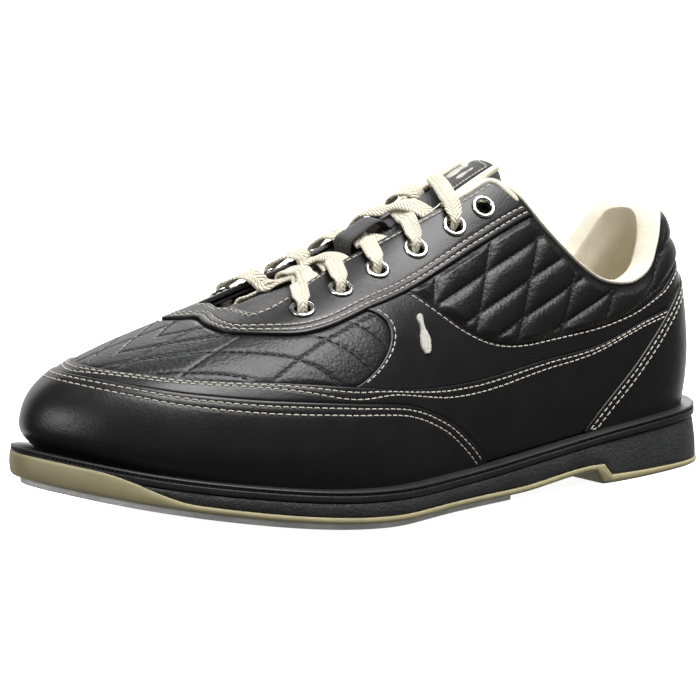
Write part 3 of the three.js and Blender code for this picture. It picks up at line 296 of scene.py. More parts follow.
# ---- meshes
def make_mesh(name, points, quads, outward=None, uv=None):
    """A smooth mesh from points in millimetres and quads. An open one takes the way out at each point."""
    points = np.reshape(points, (-1, 3))
    co = metres(points).astype(np.float32)
    quads = np.asarray(quads, np.int32)
    if outward is not None:
        a, b, c, d = (points[quads[:, k]] for k in range(4))
        facing = np.einsum("ij,ij->i", np.cross(c - a, d - b), np.reshape(outward, (-1, 3))[quads[:, 0]])
    else:  # the volume's sign
        a, b, c, d = (co[quads[:, k]] for k in range(4))
        facing = np.einsum("ij,ij->i", a, np.cross(b, c)) + np.einsum("ij,ij->i", a, np.cross(c, d))
    if facing.sum() < 0:
        quads = quads[:, ::-1]
    mesh = bpy.data.meshes.new(name)
    mesh.vertices.add(len(co))
    mesh.vertices.foreach_set("co", co.ravel())
    mesh.loops.add(quads.size)
    mesh.loops.foreach_set("vertex_index", np.ascontiguousarray(quads).ravel())
    mesh.polygons.add(len(quads))
    mesh.polygons.foreach_set("loop_start", np.arange(0, quads.size, 4, dtype=np.int32))
    mesh.update(calc_edges=True)
    mesh.polygons.foreach_set("use_smooth", np.ones(len(quads), bool))
    if uv is not None:
        layer = mesh.uv_layers.new(name="UVMap")
        layer.data.foreach_set("uv", np.reshape(uv, (-1, 2)).astype(np.float32)[quads.ravel()].ravel())
    mesh.validate()
    mesh.update()
    obj = bpy.data.objects.new(name, mesh)
    bpy.context.scene.collection.objects.link(obj)
    return obj


def grid_quads(rows, columns, ring_rows=False, ring_columns=False):
    i = np.arange(rows if ring_rows else rows - 1)
    j = np.arange(columns if ring_columns else columns - 1)
    i, j = (x.ravel() for x in np.meshgrid(i, j, indexing="ij"))
    n, m = (i + 1) % rows, (j + 1) % columns
    return np.stack([i * columns + j, i * columns + m, n * columns + m, n * columns + j], 1)


def finish_piece(obj, material, slot, body="shoe", replaces=()):
    obj.data.materials.append(material)
    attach(obj, body)
    if replaces:
        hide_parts(*replaces)
    return obj


# ---- materials
def procedural(name, color, roughness, bumps, tint=0.15, metallic=0.0, sheen=0.0, specular=0.5, uv=False):
    """A principled material. bumps lists [kind, size in mm, height in mm]; their sum is the relief."""
    material = bpy.data.materials.new(name)
    material.use_nodes = True
    tree = material.node_tree
    new, link = tree.nodes.new, tree.links.new
    shader = tree.nodes["Principled BSDF"]
    shader.inputs["Base Color"].default_value = (*color, 1)
    shader.inputs["Metallic"].default_value = metallic
    shader.inputs["Sheen Weight"].default_value = sheen
    shader.inputs["Specular IOR Level"].default_value = specular
    coordinates = new("ShaderNodeTexCoord")
    place = coordinates.outputs["UV" if uv else "Object"]

    def maths(operation, a, b=None):
        node = new("ShaderNodeMath")
        node.operation = operation
        for socket, value in zip(node.inputs, (a, b)):
            if value is None:
                continue
            if isinstance(value, (int, float)):
                socket.default_value = value
            else:
                link(value, socket)
        return node.outputs[0]

    def texture(kind, size):
        scale = 1000.0 / size
        if kind in ("noise", "fine"):
            node = new("ShaderNodeTexNoise")
            node.inputs["Scale"].default_value = scale
            node.inputs["Detail"].default_value = 4 if kind == "noise" else 1
            link(place, node.inputs["Vector"])
            return node.outputs["Fac"]
        if kind == "pebble":
            node = new("ShaderNodeTexVoronoi")
            node.feature = "SMOOTH_F1"
            node.inputs["Scale"].default_value = scale
            link(place, node.inputs["Vector"])
            return maths("MULTIPLY", node.outputs["Distance"], -1.0)
        split = new("ShaderNodeSeparateXYZ")
        link(place, split.inputs[0])
        x, y, z = split.outputs
        turn = 2 * math.pi * scale
        if kind == "weave":
            one = maths("SINE", maths("MULTIPLY", maths("ADD", x, maths("ADD", y, z)), turn))
            two = maths("SINE", maths("MULTIPLY", maths("SUBTRACT", x, maths("SUBTRACT", y, z)), turn))
            return maths("MULTIPLY", maths("MULTIPLY", one, two), 0.5)
        if kind == "braid":
            chevron = maths("ADD", x, maths("MULTIPLY", maths("ABSOLUTE", y), 0.9))
            wave = maths("ABSOLUTE", maths("SINE", maths("MULTIPLY", chevron, turn / 2)))
            columns = maths("ABSOLUTE", maths("SINE", maths("MULTIPLY", y, turn / 2.2)))
            return maths("MULTIPLY", wave, maths("ADD", maths("MULTIPLY", columns, 0.6), 0.4))
        return maths("MULTIPLY", maths("SINE", maths("MULTIPLY", x, turn)), 0.5)  # ribs

    total = None
    for kind, size, height in bumps:
        part = maths("MULTIPLY", texture(kind, size), float(height))
        total = part if total is None else maths("ADD", total, part)
    bump = new("ShaderNodeBump")
    bump.inputs["Distance"].default_value = 0.001
    link(total, bump.inputs["Height"])
    link(bump.outputs["Normal"], shader.inputs["Normal"])
    cloud = new("ShaderNodeTexNoise")
    cloud.inputs["Scale"].default_value = 120 if uv else 90
    cloud.inputs["Detail"].default_value = 5
    link(place, cloud.inputs["Vector"])
    ramp = new("ShaderNodeValToRGB")
    ramp.color_ramp.elements[0].position, ramp.color_ramp.elements[1].position = 0.3, 0.7
    ramp.color_ramp.elements[0].color = (*[c * (1 - tint) for c in color], 1)
    ramp.color_ramp.elements[1].color = (*[min(c * (1 + tint), 1) for c in color], 1)
    link(cloud.outputs["Fac"], ramp.inputs["Fac"])
    link(ramp.outputs["Color"], shader.inputs["Base Color"])
    spread = new("ShaderNodeMapRange")
    spread.inputs["To Min"].default_value = max(roughness - 0.06, 0.02)
    spread.inputs["To Max"].default_value = min(roughness + 0.06, 1)
    link(cloud.outputs["Fac"], spread.inputs["Value"])
    link(spread.outputs["Result"], shader.inputs["Roughness"])
    return material


SMOOTH_LEATHER = procedural(
    "smooth_leather", (0.007, 0.007, 0.0071), 0.38,
    [["pebble", 0.9, 0.05], ["noise", 6, 0.12], ["fine", 0.35, 0.03]], 0.2, specular=0.5,
)
QUILTED_LEATHER = procedural(
    "quilted_leather", (0.009, 0.009, 0.0092), 0.4,
    [["pebble", 1.1, 0.14], ["noise", 2.6, 0.14], ["fine", 0.45, 0.05]], 0.2, specular=0.4,
)
CREAM_LINING = procedural(
    "cream_lining", (0.8, 0.745, 0.6), 0.85,
    [["fine", 0.45, 0.18], ["weave", 0.8, 0.04], ["noise", 5, 0.3]], 0.06, sheen=0.3, specular=0.2,
)
LACE_TEXTILE = procedural(
    "lace_textile", (0.72, 0.67, 0.53), 0.85,
    [["braid", 1.5, 0.55], ["fine", 0.3, 0.2]], 0.1, sheen=0.3, specular=0.2, uv=True,
)
THREAD = procedural("cream_thread", (0.5, 0.47, 0.4), 0.7, [["fine", 0.25, 0.15]], 0.1, sheen=0.2)
BLACK_THREAD = procedural("black_thread", (0.01, 0.01, 0.01), 0.6, [["fine", 0.25, 0.15]], 0.2, sheen=0.2)
BLACK_RUBBER = procedural(
    "black_rubber", (0.028, 0.028, 0.0285), 0.6, [["pebble", 0.8, 0.3], ["noise", 2.2, 0.3]], 0.2,
)
WELT_RUBBER = procedural(
    "welt_rubber", (0.014, 0.014, 0.0145), 0.5, [["noise", 2, 0.1], ["fine", 0.5, 0.04]], 0.2,
)
KHAKI_RUBBER = procedural(
    "khaki_rubber", (0.38, 0.335, 0.19), 0.55, [["noise", 3, 0.08], ["fine", 0.6, 0.05]], 0.1,
)
FELT = procedural(
    "grey_felt", (0.78, 0.78, 0.76), 0.95, [["noise", 0.7, 0.5], ["fine", 0.3, 0.2]], 0.2, sheen=0.4,
)
SILVER = procedural("silver_plate", (0.75, 0.75, 0.73), 0.2, [["noise", 1.5, 0.02]], 0.04, metallic=1.0)
MESH_CLOTH = procedural(
    "spacer_mesh", (0.013, 0.013, 0.014), 0.8, [["weave", 1.5, 0.45], ["fine", 0.4, 0.15]], 0.25, sheen=0.3,
)
WEBBING = procedural(
    "webbing", (0.016, 0.016, 0.017), 0.75,
    [["braid", 1.2, 0.4], ["fine", 0.3, 0.1]], 0.2, sheen=0.3, uv=True,
)
SATIN = procedural(
    "satin_stitch", (0.74, 0.71, 0.64), 0.5,
    [["ribs", 0.42, 0.3], ["fine", 0.3, 0.1]], 0.05, sheen=0.3, uv=True,
)
FOAM = procedural("foam", (0.7, 0.62, 0.33), 0.95, [["pebble", 0.8, 0.4]], 0.1)
BOARD = procedural("fibre_board", (0.42, 0.3, 0.16), 0.85, [["noise", 1.5, 0.2]], 0.15)
STEEL = procedural("shank_steel", (0.45, 0.46, 0.48), 0.35, [["noise", 2, 0.03]], 0.05, metallic=1.0)
PLASTIC = procedural("stiffener", (0.62, 0.6, 0.53), 0.6, [["noise", 2, 0.1]], 0.05)
FOREPART_LINING = procedural(
    "forepart_lining", (0.6, 0.53, 0.4), 0.9, [["weave", 0.9, 0.1], ["fine", 0.5, 0.1]], 0.1,
)


# ---- panels of the upper
class Strip:
    """Material between two seams a and b. t runs along them, and distances across are in millimetres."""

    def __init__(self, a, b, bow=None):
        self.a, self.b, self.bow = a, b, bow

    def uv(self, t, s):
        a, b = self.a(t)[:, None, :], self.b(t)[:, None, :]
        place = mix(a, b, s[..., None])
        if self.bow is not None:
            place = place + (4 * s * (1 - s))[..., None] * self.bow(t)[:, None, :]
        return place

    def share(self, t, mm, side):
        s = np.linspace(0, 1, 41)
        place = self.uv(t, np.broadcast_to(s, (len(t), 41)))
        points = surf(place[..., 0], np.clip(place[..., 1], 0, 1))
        run = np.concatenate(
            [np.zeros((len(t), 1)), np.cumsum(np.linalg.norm(np.diff(points, axis=1), axis=2), 1)], 1
        )
        width = run[:, -1:]
        mm = np.broadcast_to(mm, (len(t), np.shape(mm)[-1]))
        wanted = mm if side == "a" else width - mm
        found = np.empty(wanted.shape)
        for k in range(len(t)):
            row, length = wanted[k], width[k, 0]
            found[k] = np.interp(row, run[k], s)
            first, final = max(run[k, 1], 1e-3), max(length - run[k, -2], 1e-3)
            found[k] = np.where(row < 0, np.maximum(row / first / 40, -0.8), found[k])
            found[k] = np.where(row > length, np.minimum(1 + (row - length) / final / 40, 1.8), found[k])
        return found, width

    def place(self, t, mm, side):
        """(u, v) at one distance from a seam, for many t."""
        t = np.asarray(t, float)
        found, _ = self.share(t, np.full((len(t), 1), float(mm)), side)
        return self.uv(t, found)[:, 0]


RAISED = [(0.0, None), (0.02, -0.55), (0.12, -0.22), (0.35, -0.06), (0.8, 0.0)]
RAISED_MORE = [1.4, 1.75, 2.0, 2.25, 2.7, 3.4, 4.1, 4.35, 4.6, 4.85, 5.4, 6.4]
TUCKED = [(-3.0, -1.3), (-1.2, -1.1), (0.0, -0.5), (0.5, -0.2), (1.2, -0.04)]
TUCKED_MORE = [2.2, 3.2]
TURNED_IN = [(-1.1, -1.3), (-0.5, -1.0), (0.0, -0.5), (0.5, -0.2), (1.2, -0.04)]
FOOT = [(0.0, 0.0), (0.02, 0.0), (0.8, 0.0), (1.6, 0.0), (2.4, 0.0)]
SKIRT_OUT = -0.7  # how deep a raised edge reaches


def edge_columns(kind, level, grooves):
    base = {"raised": RAISED, "tucked": TUCKED, "foot": FOOT, "turned": TURNED_IN}[kind]
    more = [] if kind == "foot" else (RAISED_MORE if grooves else TUCKED_MORE)
    mm = [m for m, _ in base] + list(more)
    height = [SKIRT_OUT if h is None else level + h for _, h in base] + [level] * len(more)
    return np.array(mm), np.array(height)


def groove(distance, rows):
    return sum((-0.16 * np.exp(-(((distance - row) / 0.42) ** 2)) for row in rows), np.zeros_like(distance))


SMOOTH, QUILTED = (SMOOTH_LEATHER, "black_leather"), (QUILTED_LEATHER, "quilted_leather")
TWIN_ROWS = (2.0, 4.6)  # two rows of stitches, from the edge
SINGLE_ROW, THROAT_ROW = 2.0, 1.8
grids = {}  # the padded panels' points, ways out, places on the last, and what lies inside their edges


def panel(name, node, strip, level, leather, sides, rows, inner, ends=(False, False), relief=None,
          grooves=((), ()), holes=(), raise_b=None):
    """The outer face of a panel. Raised edges turn down onto the layer below and tucked ones run under it."""
    t = np.linspace(0, 1, rows)
    mm_a, height_a = edge_columns(sides[0], level, grooves[0])
    mm_b, height_b = edge_columns(sides[1], level, grooves[1])
    mm_b, height_b = (np.broadcast_to(row, (rows, len(row))) for row in (mm_b, height_b))
    if raise_b is not None:  # edge b changes from tucked to raised along its run
        mm_r, height_r = edge_columns("raised", level, ())
        weight = raise_b(t)[:, None]
        mm_b, height_b = mix(mm_b, mm_r, weight), mix(height_b, height_r, weight)
    _, width = strip.share(t, np.zeros((rows, 1)), "a")
    room = width / (mm_a[-1] + mm_b[:, -1:] + 1.0)
    fit = np.minimum(room, 1.0)
    share_a, _ = strip.share(t, mm_a[None, :] * np.where(mm_a > 0, fit, 1), "a")
    share_b, _ = strip.share(t, mm_b * np.where(mm_b > 0, fit, 1), "b")
    between = np.linspace(0, 1, inner + 2)[1:-1]
    share_m = mix(share_a[:, -1:], share_b[:, -1:], between[None, :])
    share = np.concatenate([share_a, share_m, share_b[:, ::-1]], 1)
    height = np.concatenate(
        [np.broadcast_to(height_a, share_a.shape), np.full(share_m.shape, level), height_b[:, ::-1]], 1
    )
    place = strip.uv(t, share)
    base = surf(place[..., 0], np.clip(place[..., 1], 0, 1))
    steps = np.linalg.norm(np.diff(base, axis=1), axis=2)
    run = np.concatenate([np.zeros((rows, 1)), np.cumsum(steps, 1)], 1)
    zero_a = run[:, int(np.argmin(np.abs(mm_a)))][:, None]
    at_b = share.shape[1] - 1 - (2 if sides[1] in ("tucked", "turned") else 0)
    from_a, from_b = run - zero_a, run[:, at_b][:, None] - run
    height = height + groove(from_a, grooves[0]) + groove(from_b, grooves[1])
    if relief is not None:
        height = height + relief(base, from_a, from_b, t[:, None])
        u, v = place[..., 0], np.clip(place[..., 1], 0, 1)
        inside = (from_a > 1.2) & (from_b > 1.2)
        grids[name] = (surf(u, v, height), normal_at(u, v), base, inside)
    extra_place, extra_height = [place], [height]
    for end, near, far in ((0, 0, 3), (1, -1, -4)):  # an end that is tucked runs on under the next panel
        if not ends[end]:
            continue
        step = place[near] - place[far]
        length = np.linalg.norm(base[near] - base[far], axis=-1, keepdims=True)
        way = step / np.maximum(length, 0.5)
        more = np.stack([place[near] + way * 3.0, place[near] + way * 1.2])
        low = np.stack([height[near] - 1.3, height[near] - 1.0])
        height[near] -= 0.45
        if end:
            extra_place, extra_height = extra_place + [more[::-1]], extra_height + [low[::-1]]
        else:
            extra_place, extra_height = [more] + extra_place, [low] + extra_height
    place, height = np.concatenate(extra_place), np.concatenate(extra_height)
    u, v = place[..., 0], np.clip(place[..., 1], 0, 1)
    points = surf(u, v, height)
    for column, kind in ((0, sides[0]), (-1, sides[1])):
        if kind == "foot":
            points[:, column, 2] -= 2.4
    quads = grid_quads(*points.shape[:2])
    flat = points.reshape(-1, 3)
    for position, axis, radius in holes:
        offset = flat[quads].mean(1) - position
        from_axis = np.linalg.norm(offset - (offset @ axis)[:, None] * axis, axis=1)
        quads = quads[from_axis > radius]
    return finish_piece(make_mesh(name, flat, quads, normal_at(u, v)), *leather, replaces=[node])


# ---- stitches
def resample(points, step, offset=0.5, values=None):
    """The points, or values given at them, at even steps along the row."""
    run = run_along(points)
    count = max(int(run[-1] / step), 1)
    wanted = (np.arange(count) + offset) * run[-1] / count
    values = points if values is None else values
    return np.stack([np.interp(wanted, run, values[:, k]) for k in range(3)], 1)


THREAD_RINGS = np.array([-1.0, -0.9, -0.6, 0.0, 0.6, 0.9, 1.0])
THREAD_GIRTH = np.array([0.25, 0.7, 0.97, 1.0, 0.97, 0.7, 0.25])


def stitch_parts(points, normals, pitch=3.0, length=2.35, radius=0.28, lift=0.1, slant=0.0):
    """Points and quads of one row of stitches that dip into the material at their ends."""
    centres = resample(points, pitch)
    way = unit(resample(points, pitch, 0.6) - resample(points, pitch, 0.4))
    side = unit(np.cross(way, resample(points, pitch, values=normals)))
    up = np.cross(side, way)
    way = unit(way + side * slant)
    around_angle = np.arange(6) * math.pi / 3
    rings = []
    for t, girth in zip(THREAD_RINGS, THREAD_GIRTH):
        centre = centres + way * (t * length / 2) + up * (lift - 0.5 * radius * t * t * 1.6)
        for angle in around_angle:
            rings.append(centre + (side * math.cos(angle) + up * math.sin(angle)) * radius * girth)
    grid = np.stack(rings, 1)  # stitch, ring point, xyz
    quads = grid_quads(len(THREAD_RINGS), 6, ring_columns=True)
    caps = np.array([[0, 1, 2, 3], [0, 3, 4, 5], [39, 38, 37, 36], [41, 40, 39, 36]])
    each = np.concatenate([quads, caps])
    n = grid.shape[1]
    every = (each[None] + (np.arange(len(grid)) * n)[:, None, None]).reshape(-1, 4)
    return grid.reshape(-1, 3), every


def sew(name, rows, material=None, slot="white_thread"):
    """One object from several rows of (points, normals, options)."""
    points, quads, count = [], [], 0
    for path, normals, options in rows:
        p, q = stitch_parts(path, normals, **options)
        points.append(p)
        quads.append(q + count)
        count += len(p)
    obj = make_mesh(name, np.concatenate(points), np.concatenate(quads))
    return finish_piece(obj, material or THREAD, slot)


def seam_row(strip, mm, side, level, start, end, count):
    """A row for sew(), that far in from one of a strip's edges."""
    t = np.linspace(start, end, count)
    place = strip.place(t, mm, side)
    u, v = place[:, 0], np.clip(place[:, 1], 0.001, 1)
    return surf(u, v, level - 0.05), normal_at(u, v), {}


SHORTEST_ROW, LONGEST_STEP = 7.0, 4.0  # of a quilting row, and between two of its points


def quilting(name, lines, **options):
    """Rows of thread where a panel's relief crosses whole numbers of its two families of lines."""
    points, normals, base, inside = grids[name]
    found = []
    for family in lines(base):
        for level in range(math.ceil(family.min()), math.floor(family.max()) + 1):
            below = family < level
            crossing = (below[:, 1:] != below[:, :-1]) & inside[:, 1:] & inside[:, :-1]
            run = []
            for row in range(len(family) + 1):
                column = np.flatnonzero(crossing[row]) if row < len(family) else []
                place = None
                if len(column):
                    k = column[0] if not run else min(column, key=lambda c: abs(c - run[-1][2]))
                    share = (level - family[row, k]) / (family[row, k + 1] - family[row, k])
                    place = (mix(points[row, k], points[row, k + 1], share), normals[row, k], k)
                if place is not None and (not run or np.linalg.norm(place[0] - run[-1][0]) < LONGEST_STEP):
                    run.append(place)
                    continue
                if len(run) > 2:
                    path = np.array([entry[0] for entry in run])
                    if run_along(path)[-1] > SHORTEST_ROW:
                        found.append((path, np.array([entry[1] for entry in run]), options))
                run = [place] if place is not None else []
    return found


# ---- eyelet sites
EYELETS = [(0.358, 0.73), (0.315, 0.735), (0.281, 0.715), (0.254, 0.685), (0.231, 0.66), (0.2135, 0.655)]
HOLE_RADIUS = 3.8  # in the leather, hidden by the flange
sites = []
for side, _ in SIDES:
    for row, (u, v) in enumerate(EYELETS):
        own = u if side == "lateral" else 1 - u
        sites.append((f"eyelet_{side}_{row + 1}", surf(own, v), normal_at(own, v)))
eyelet_holes = [(position, axis, HOLE_RADIUS) for _, position, axis in sites]

# ---- upper
mudguard = Strip(stretch(MUDGUARD_EDGE, 0.1, MUDGUARD_EDGE.last - 0.1), foot(0.2315, 0.7685))
panel("mudguard_skin", "mudguard", mudguard, LEVELS[3], SMOOTH, ("raised", "foot"), 420, 26,
      grooves=(TWIN_ROWS, ()))

FOXING_HEEL = 8 / 22
foxing_foot = chain(foot(0.165, 0.2295), stretch(MUDGUARD_EDGE, 0, 9), FOXING_HEEL)
foxing_top = chain(stretch(FOXING_EDGE, 0, 4), stretch(FOXING_EDGE, 4, 11), FOXING_HEEL)


def both_halves(edge):
    return lambda t: np.where(
        (t <= 0.5)[..., None], edge(np.minimum(2 * t, 1)), medial_of(edge)(np.clip(2 - 2 * t, 0, 1))
    )


foxing = Strip(both_halves(foxing_top), both_halves(foxing_foot))
panel("foxing_skin", "foxing_band", foxing, LEVELS[2], SMOOTH, ("raised", "tucked"), 520, 10,
      ends=(True, True), grooves=(TWIN_ROWS, ()))


def pillow(q, power):
    return 1 - np.abs(2 * (q - np.floor(q)) - 1) ** power


def vamp_lines(base):
    """The vamp's two families of quilting lines: one slants out towards the heel, one runs along the foot."""
    x, side = base[..., 0], np.abs(base[..., 1] + 6)
    return (side + 0.68 * x) / 11.2, (side - 0.113 * x) / 19.4


def vamp_relief(base, from_a, from_b, t):
    one, two = vamp_lines(base)
    inside = smooth(0.5, 3.0, from_a) * smooth(0.5, 3.0, from_b)
    inside = inside * smooth(0, 0.012, t) * smooth(0, 0.012, 1 - t)
    return inside * (0.6 * (pillow(one, 7) * pillow(two, 14)) ** 0.8 - 0.3)


vamp = Strip(stretch(FOXING_EDGE, 7, FOXING_EDGE.last - 7), stretch(EYESTAY_EDGE, 4, 16), vamp_bow)
panel("vamp_skin", "vamp", vamp, LEVELS[0], QUILTED, ("tucked", "tucked"), 460, 70, ends=(True, True),
      relief=vamp_relief)

saddle_top = stretch(SADDLE_TOP, 11, 0)
FRONT_STARTS = 20 / 28  # where the saddle's foot turns up into its front edge
saddle_foot = chain(stretch(COUNTER_EDGE, 7, 4), stretch(FOXING_EDGE, 0, 7), 6 / 20)
saddle_foot = chain(saddle_foot, saddle_front, FRONT_STARTS)
quarter_foot = stretch(SADDLE_TOP, 0, 11)
quarter_top = chain(stretch(EYESTAY_EDGE, 2.72, 0), stretch(TOPLINE, 0, 11), 6 / 24)
RISE_1, SPACING_1 = math.radians(20.6), 11.2  # the two families of quilting lines on the quarter
RISE_2, SPACING_2 = math.radians(66), 21.0


def quarter_lines(base):
    x, z = base[..., 0], base[..., 2]
    one = (x * math.sin(RISE_1) + z * math.cos(RISE_1)) / SPACING_1
    return one, (x * math.sin(RISE_2) + z * math.cos(RISE_2)) / SPACING_2


def quarter_relief(base, from_a, from_b, t):
    one, two = quarter_lines(base)
    cell = (pillow(one, 2.6) * pillow(two, 4)) ** 0.75
    inside = smooth(0.5, 4.0, from_a) * smooth(1.0, 4.5, from_b)
    return inside * (2.1 * cell - 0.55)


def front_raised(t):
    return smooth(FRONT_STARTS - 0.01, FRONT_STARTS + 0.01, t)


saddles = []
for side, on in SIDES:
    saddle = Strip(on(saddle_top), on(saddle_foot))
    panel("saddle_skin_" + side, "saddle_" + side, saddle, LEVELS[1], SMOOTH, ("raised", "tucked"), 380, 14,
          ends=(False, True), grooves=((SINGLE_ROW,), ()), raise_b=front_raised)
    saddles.append(saddle)
    quarter = Strip(on(quarter_foot), on(quarter_top))
    skin = panel("collar_quarter_skin_" + side, "collar_quarter_" + side, quarter, LEVELS[0], QUILTED,
                 ("tucked", "turned"), 420, 60, relief=quarter_relief)

counter = Strip(stretch(COUNTER_EDGE, 0.05, COUNTER_EDGE.last - 0.05), foot(0.1645, -0.1645))
panel("heel_counter_skin", "heel_counter_cover", counter, LEVELS[3], SMOOTH, ("raised", "foot"), 320, 18,
      grooves=(TWIN_ROWS, ()))

eyestay = Strip(stretch(EYESTAY_EDGE, 0, 20), stretch(THROAT_EDGE, 0, 20))
panel("eyestay_skin", "eyestay", eyestay, LEVELS[2], SMOOTH, ("raised", "raised"), 620, 26,
      ends=(True, True), grooves=(TWIN_ROWS, (THROAT_ROW,)), holes=eyelet_holes)

# ---- seams sewn on the upper
rows = []
for strip, level, trim, count in (
    (mudguard, LEVELS[3], 0.01, 700), (foxing, LEVELS[2], 0.004, 1200),
    (counter, LEVELS[3], 0.01, 500), (eyestay, LEVELS[2], 0.002, 1200),
):
    rows += [seam_row(strip, mm, "a", level, trim, 1 - trim, count) for mm in TWIN_ROWS]
rows.append(seam_row(eyestay, THROAT_ROW, "b", LEVELS[2], 0.004, 0.996, 1200))
for saddle in saddles:
    rows.append(seam_row(saddle, SINGLE_ROW, "a", LEVELS[1], 0.0, 0.985, 700))
    rows.append(seam_row(saddle, SINGLE_ROW, "b", LEVELS[1], FRONT_STARTS + 0.012, 0.985, 300))
sew("seam_threads", rows)

rows = quilting("vamp_skin", vamp_lines, pitch=2.8, length=2.3, radius=0.36, lift=0.2)
for side, _ in SIDES:
    rows += quilting(
        "collar_quarter_skin_" + side, quarter_lines, pitch=2.6, length=2.2, radius=0.26, lift=0.05,
    )
sew("quilting_threads", rows, BLACK_THREAD, "quilted_leather")

# ---- eyelets
LOWER_OUT, FLANGE_TOP = -3.75, 1.95
TURNED = [  # the section of an eyelet: radius, and height over the last
    (2.9, LOWER_OUT), (3.9, LOWER_OUT), (3.9, -3.4), (3.3, -3.4), (3.3, 1.0), (3.6, 1.1), (4.3, 1.08),
    (4.62, 1.2), (4.7, 1.45), (4.6, 1.72), (4.3, 1.9), (3.85, 1.97), (3.4, 1.9), (3.05, 1.65), (2.92, 1.2),
    (2.9, 0.4),
]


RING_SIDES = 48

for name, position, axis in sites:
    first = unit(np.cross(axis, [0.0, 0.0, 1.0]))
    second = np.cross(axis, first)
    angle = np.linspace(0, 2 * math.pi, RING_SIDES, endpoint=False)[:, None]
    circle = np.cos(angle) * first + np.sin(angle) * second
    radius, height = np.array(TURNED).T[:, :, None, None]
    points = position + radius * circle + height * axis
    obj = make_mesh(name + "_ring", points, grid_quads(len(TURNED), RING_SIDES, True, True))
    finish_piece(obj, SILVER, "silver_metal", replaces=[name])

# ---- sole
PAD_START, PAD_INSET, PAD_THICKNESS, OUTSOLE_THICKNESS = 0.39 * LENGTH, 3.0, 2.2, 2.4
HEEL_LENGTH, ARCH_X, BREAST_WALL, ARCH_RISE = 70.0, 74.0, 4.0, 5.5
HEEL_FLOOR, BREAST_FLOOR = 1.6, 3.2  # thickness of the rubber under the heel's back and at its breast


def ground(x):
    return TOE_SPRING * np.clip((x / LENGTH - 0.58) / 0.42, 0, 1) ** 1.6


def outsole_bottom(x):
    arch = mix(ARCH_RISE, ground(x) + PAD_THICKNESS + GAP, smooth(ARCH_X, PAD_START, x))
    rise = ARCH_RISE * (x - HEEL_LENGTH) / (ARCH_X - HEEL_LENGTH)
    return np.where(x <= HEEL_LENGTH, 0.0, np.where(x <= ARCH_X, rise, arch))


def outsole_floor(x):
    breast = HEEL_LENGTH - BREAST_WALL
    arch = outsole_bottom(np.maximum(x, ARCH_X)) + OUTSOLE_THICKNESS
    step = mix(BREAST_FLOOR, arch, (x - breast) / BREAST_WALL)
    heel = mix(HEEL_FLOOR, BREAST_FLOOR, x / breast)
    return np.where(x <= breast, heel, np.where(x <= HEEL_LENGTH, step, arch))


def stack_top(x):
    return welt_z(x) - WELT_HEIGHT - GAP


def bumper_top(x):
    """The outsole's upper edge, which climbs the midsole's wall at the toe."""
    return mix(outsole_floor(x), stack_top(x) - GAP, smooth(0.86, 0.955, x / LENGTH))


def bumper_wall(x):
    return 3.2 * smooth(0.838, 0.862, x / LENGTH)


def flare(x):
    return 1.2 * (1 - smooth(0.2, 0.28, x / LENGTH))


fine_u = np.linspace(0, 0.5, 4001)
fine_x = ring_value(RING_X, fine_u)


def u_at(x):
    return np.interp(x, fine_x, fine_u)


breast = HEEL_LENGTH - BREAST_WALL
corners = [corner - step for corner in (breast, HEEL_LENGTH, ARCH_X) for step in (0.1, 0.0)]
breaks = u_at(np.array(corners + [ARCH_X + 0.1, PAD_START]))
RIM = np.unique(np.concatenate([np.linspace(0, 1, 640, endpoint=False), breaks, 1 - breaks]))


def band(name, us, levels, material, slot, replaces, caps=False):
    """A closed body round the sole. levels: (offset outwards, height, share of the way to the centre)."""
    x = ring_value(RING_X, us)
    columns = []
    for out, height, share in levels:
        offset = np.broadcast_to(out(x) if callable(out) else out, x.shape)
        rim, other = outline(us, offset), outline(1 - us, offset)
        flat = mix(rim, (rim + other) / 2, share)
        columns.append(np.concatenate([flat, height(flat[:, 0])[:, None]], 1))
    points = np.stack(columns, 1)
    n = len(levels)
    quads = grid_quads(len(us), n, ring_rows=not caps)
    if caps:
        for row in (0, len(us) - 1):
            j = np.arange(n // 2 - 1)
            ends = np.stack([j, j + 1, n - 2 - j, n - 1 - j], 1) + row * n
            quads = np.concatenate([quads, ends[:, ::-1] if row == 0 else ends])
    obj = make_mesh(name, points, quads)
    return finish_piece(obj, material, slot, replaces=replaces)


def between(low, high, share):
    return lambda x: mix(low(x), high(x), share)


def raised(height, by):
    return lambda x: height(x) + by


mid_low = raised(bumper_top, 0.12)
MIDSOLE_WALL = [  # share of the height, and bulge
    (1.0, -0.4), (0.97, -0.12), (0.9, 0.05), (0.7, 0.25), (0.5, 0.3), (0.3, 0.22), (0.1, 0.02), (0.03, -0.12),
    (0.0, -0.4),
]
mid_levels = [(lambda x: -0.5 * flare(x), stack_top, s) for s in (1.0, 0.6, 0.2)]
for share, bulge in MIDSOLE_WALL:
    def midsole_out(x, share=share, bulge=bulge):
        return mix(flare(x), -0.5 * flare(x), share) + bulge

    mid_levels.append((midsole_out, between(mid_low, stack_top, share), 0.0))
mid_levels.append((lambda x: -bumper_wall(x) - 0.5, mid_low, 0.0))
mid_levels += [(lambda x: -bumper_wall(x) - 0.6, raised(outsole_floor, 0.12), s) for s in (0.0, 0.5, 1.0)]
band("midsole_block", RIM, mid_levels, BLACK_RUBBER, "black_rubber", ["midsole"])

LIP_RISE = 2.6
OUTSOLE_WALL = [  # share of the height, and bulge
    (1.0, -0.3), (0.95, 0.1), (0.85, 0.3), (0.5, 0.45), (0.2, 0.25), (0.07, -0.05), (0.0, -0.6),
]


def lip(x):
    """Round the toe the rubber reaches up over the welt's lower half."""
    return smooth(0.875, 0.965, x / LENGTH)


def bumper_rim(x):
    return bumper_top(x) + LIP_RISE * lip(x)


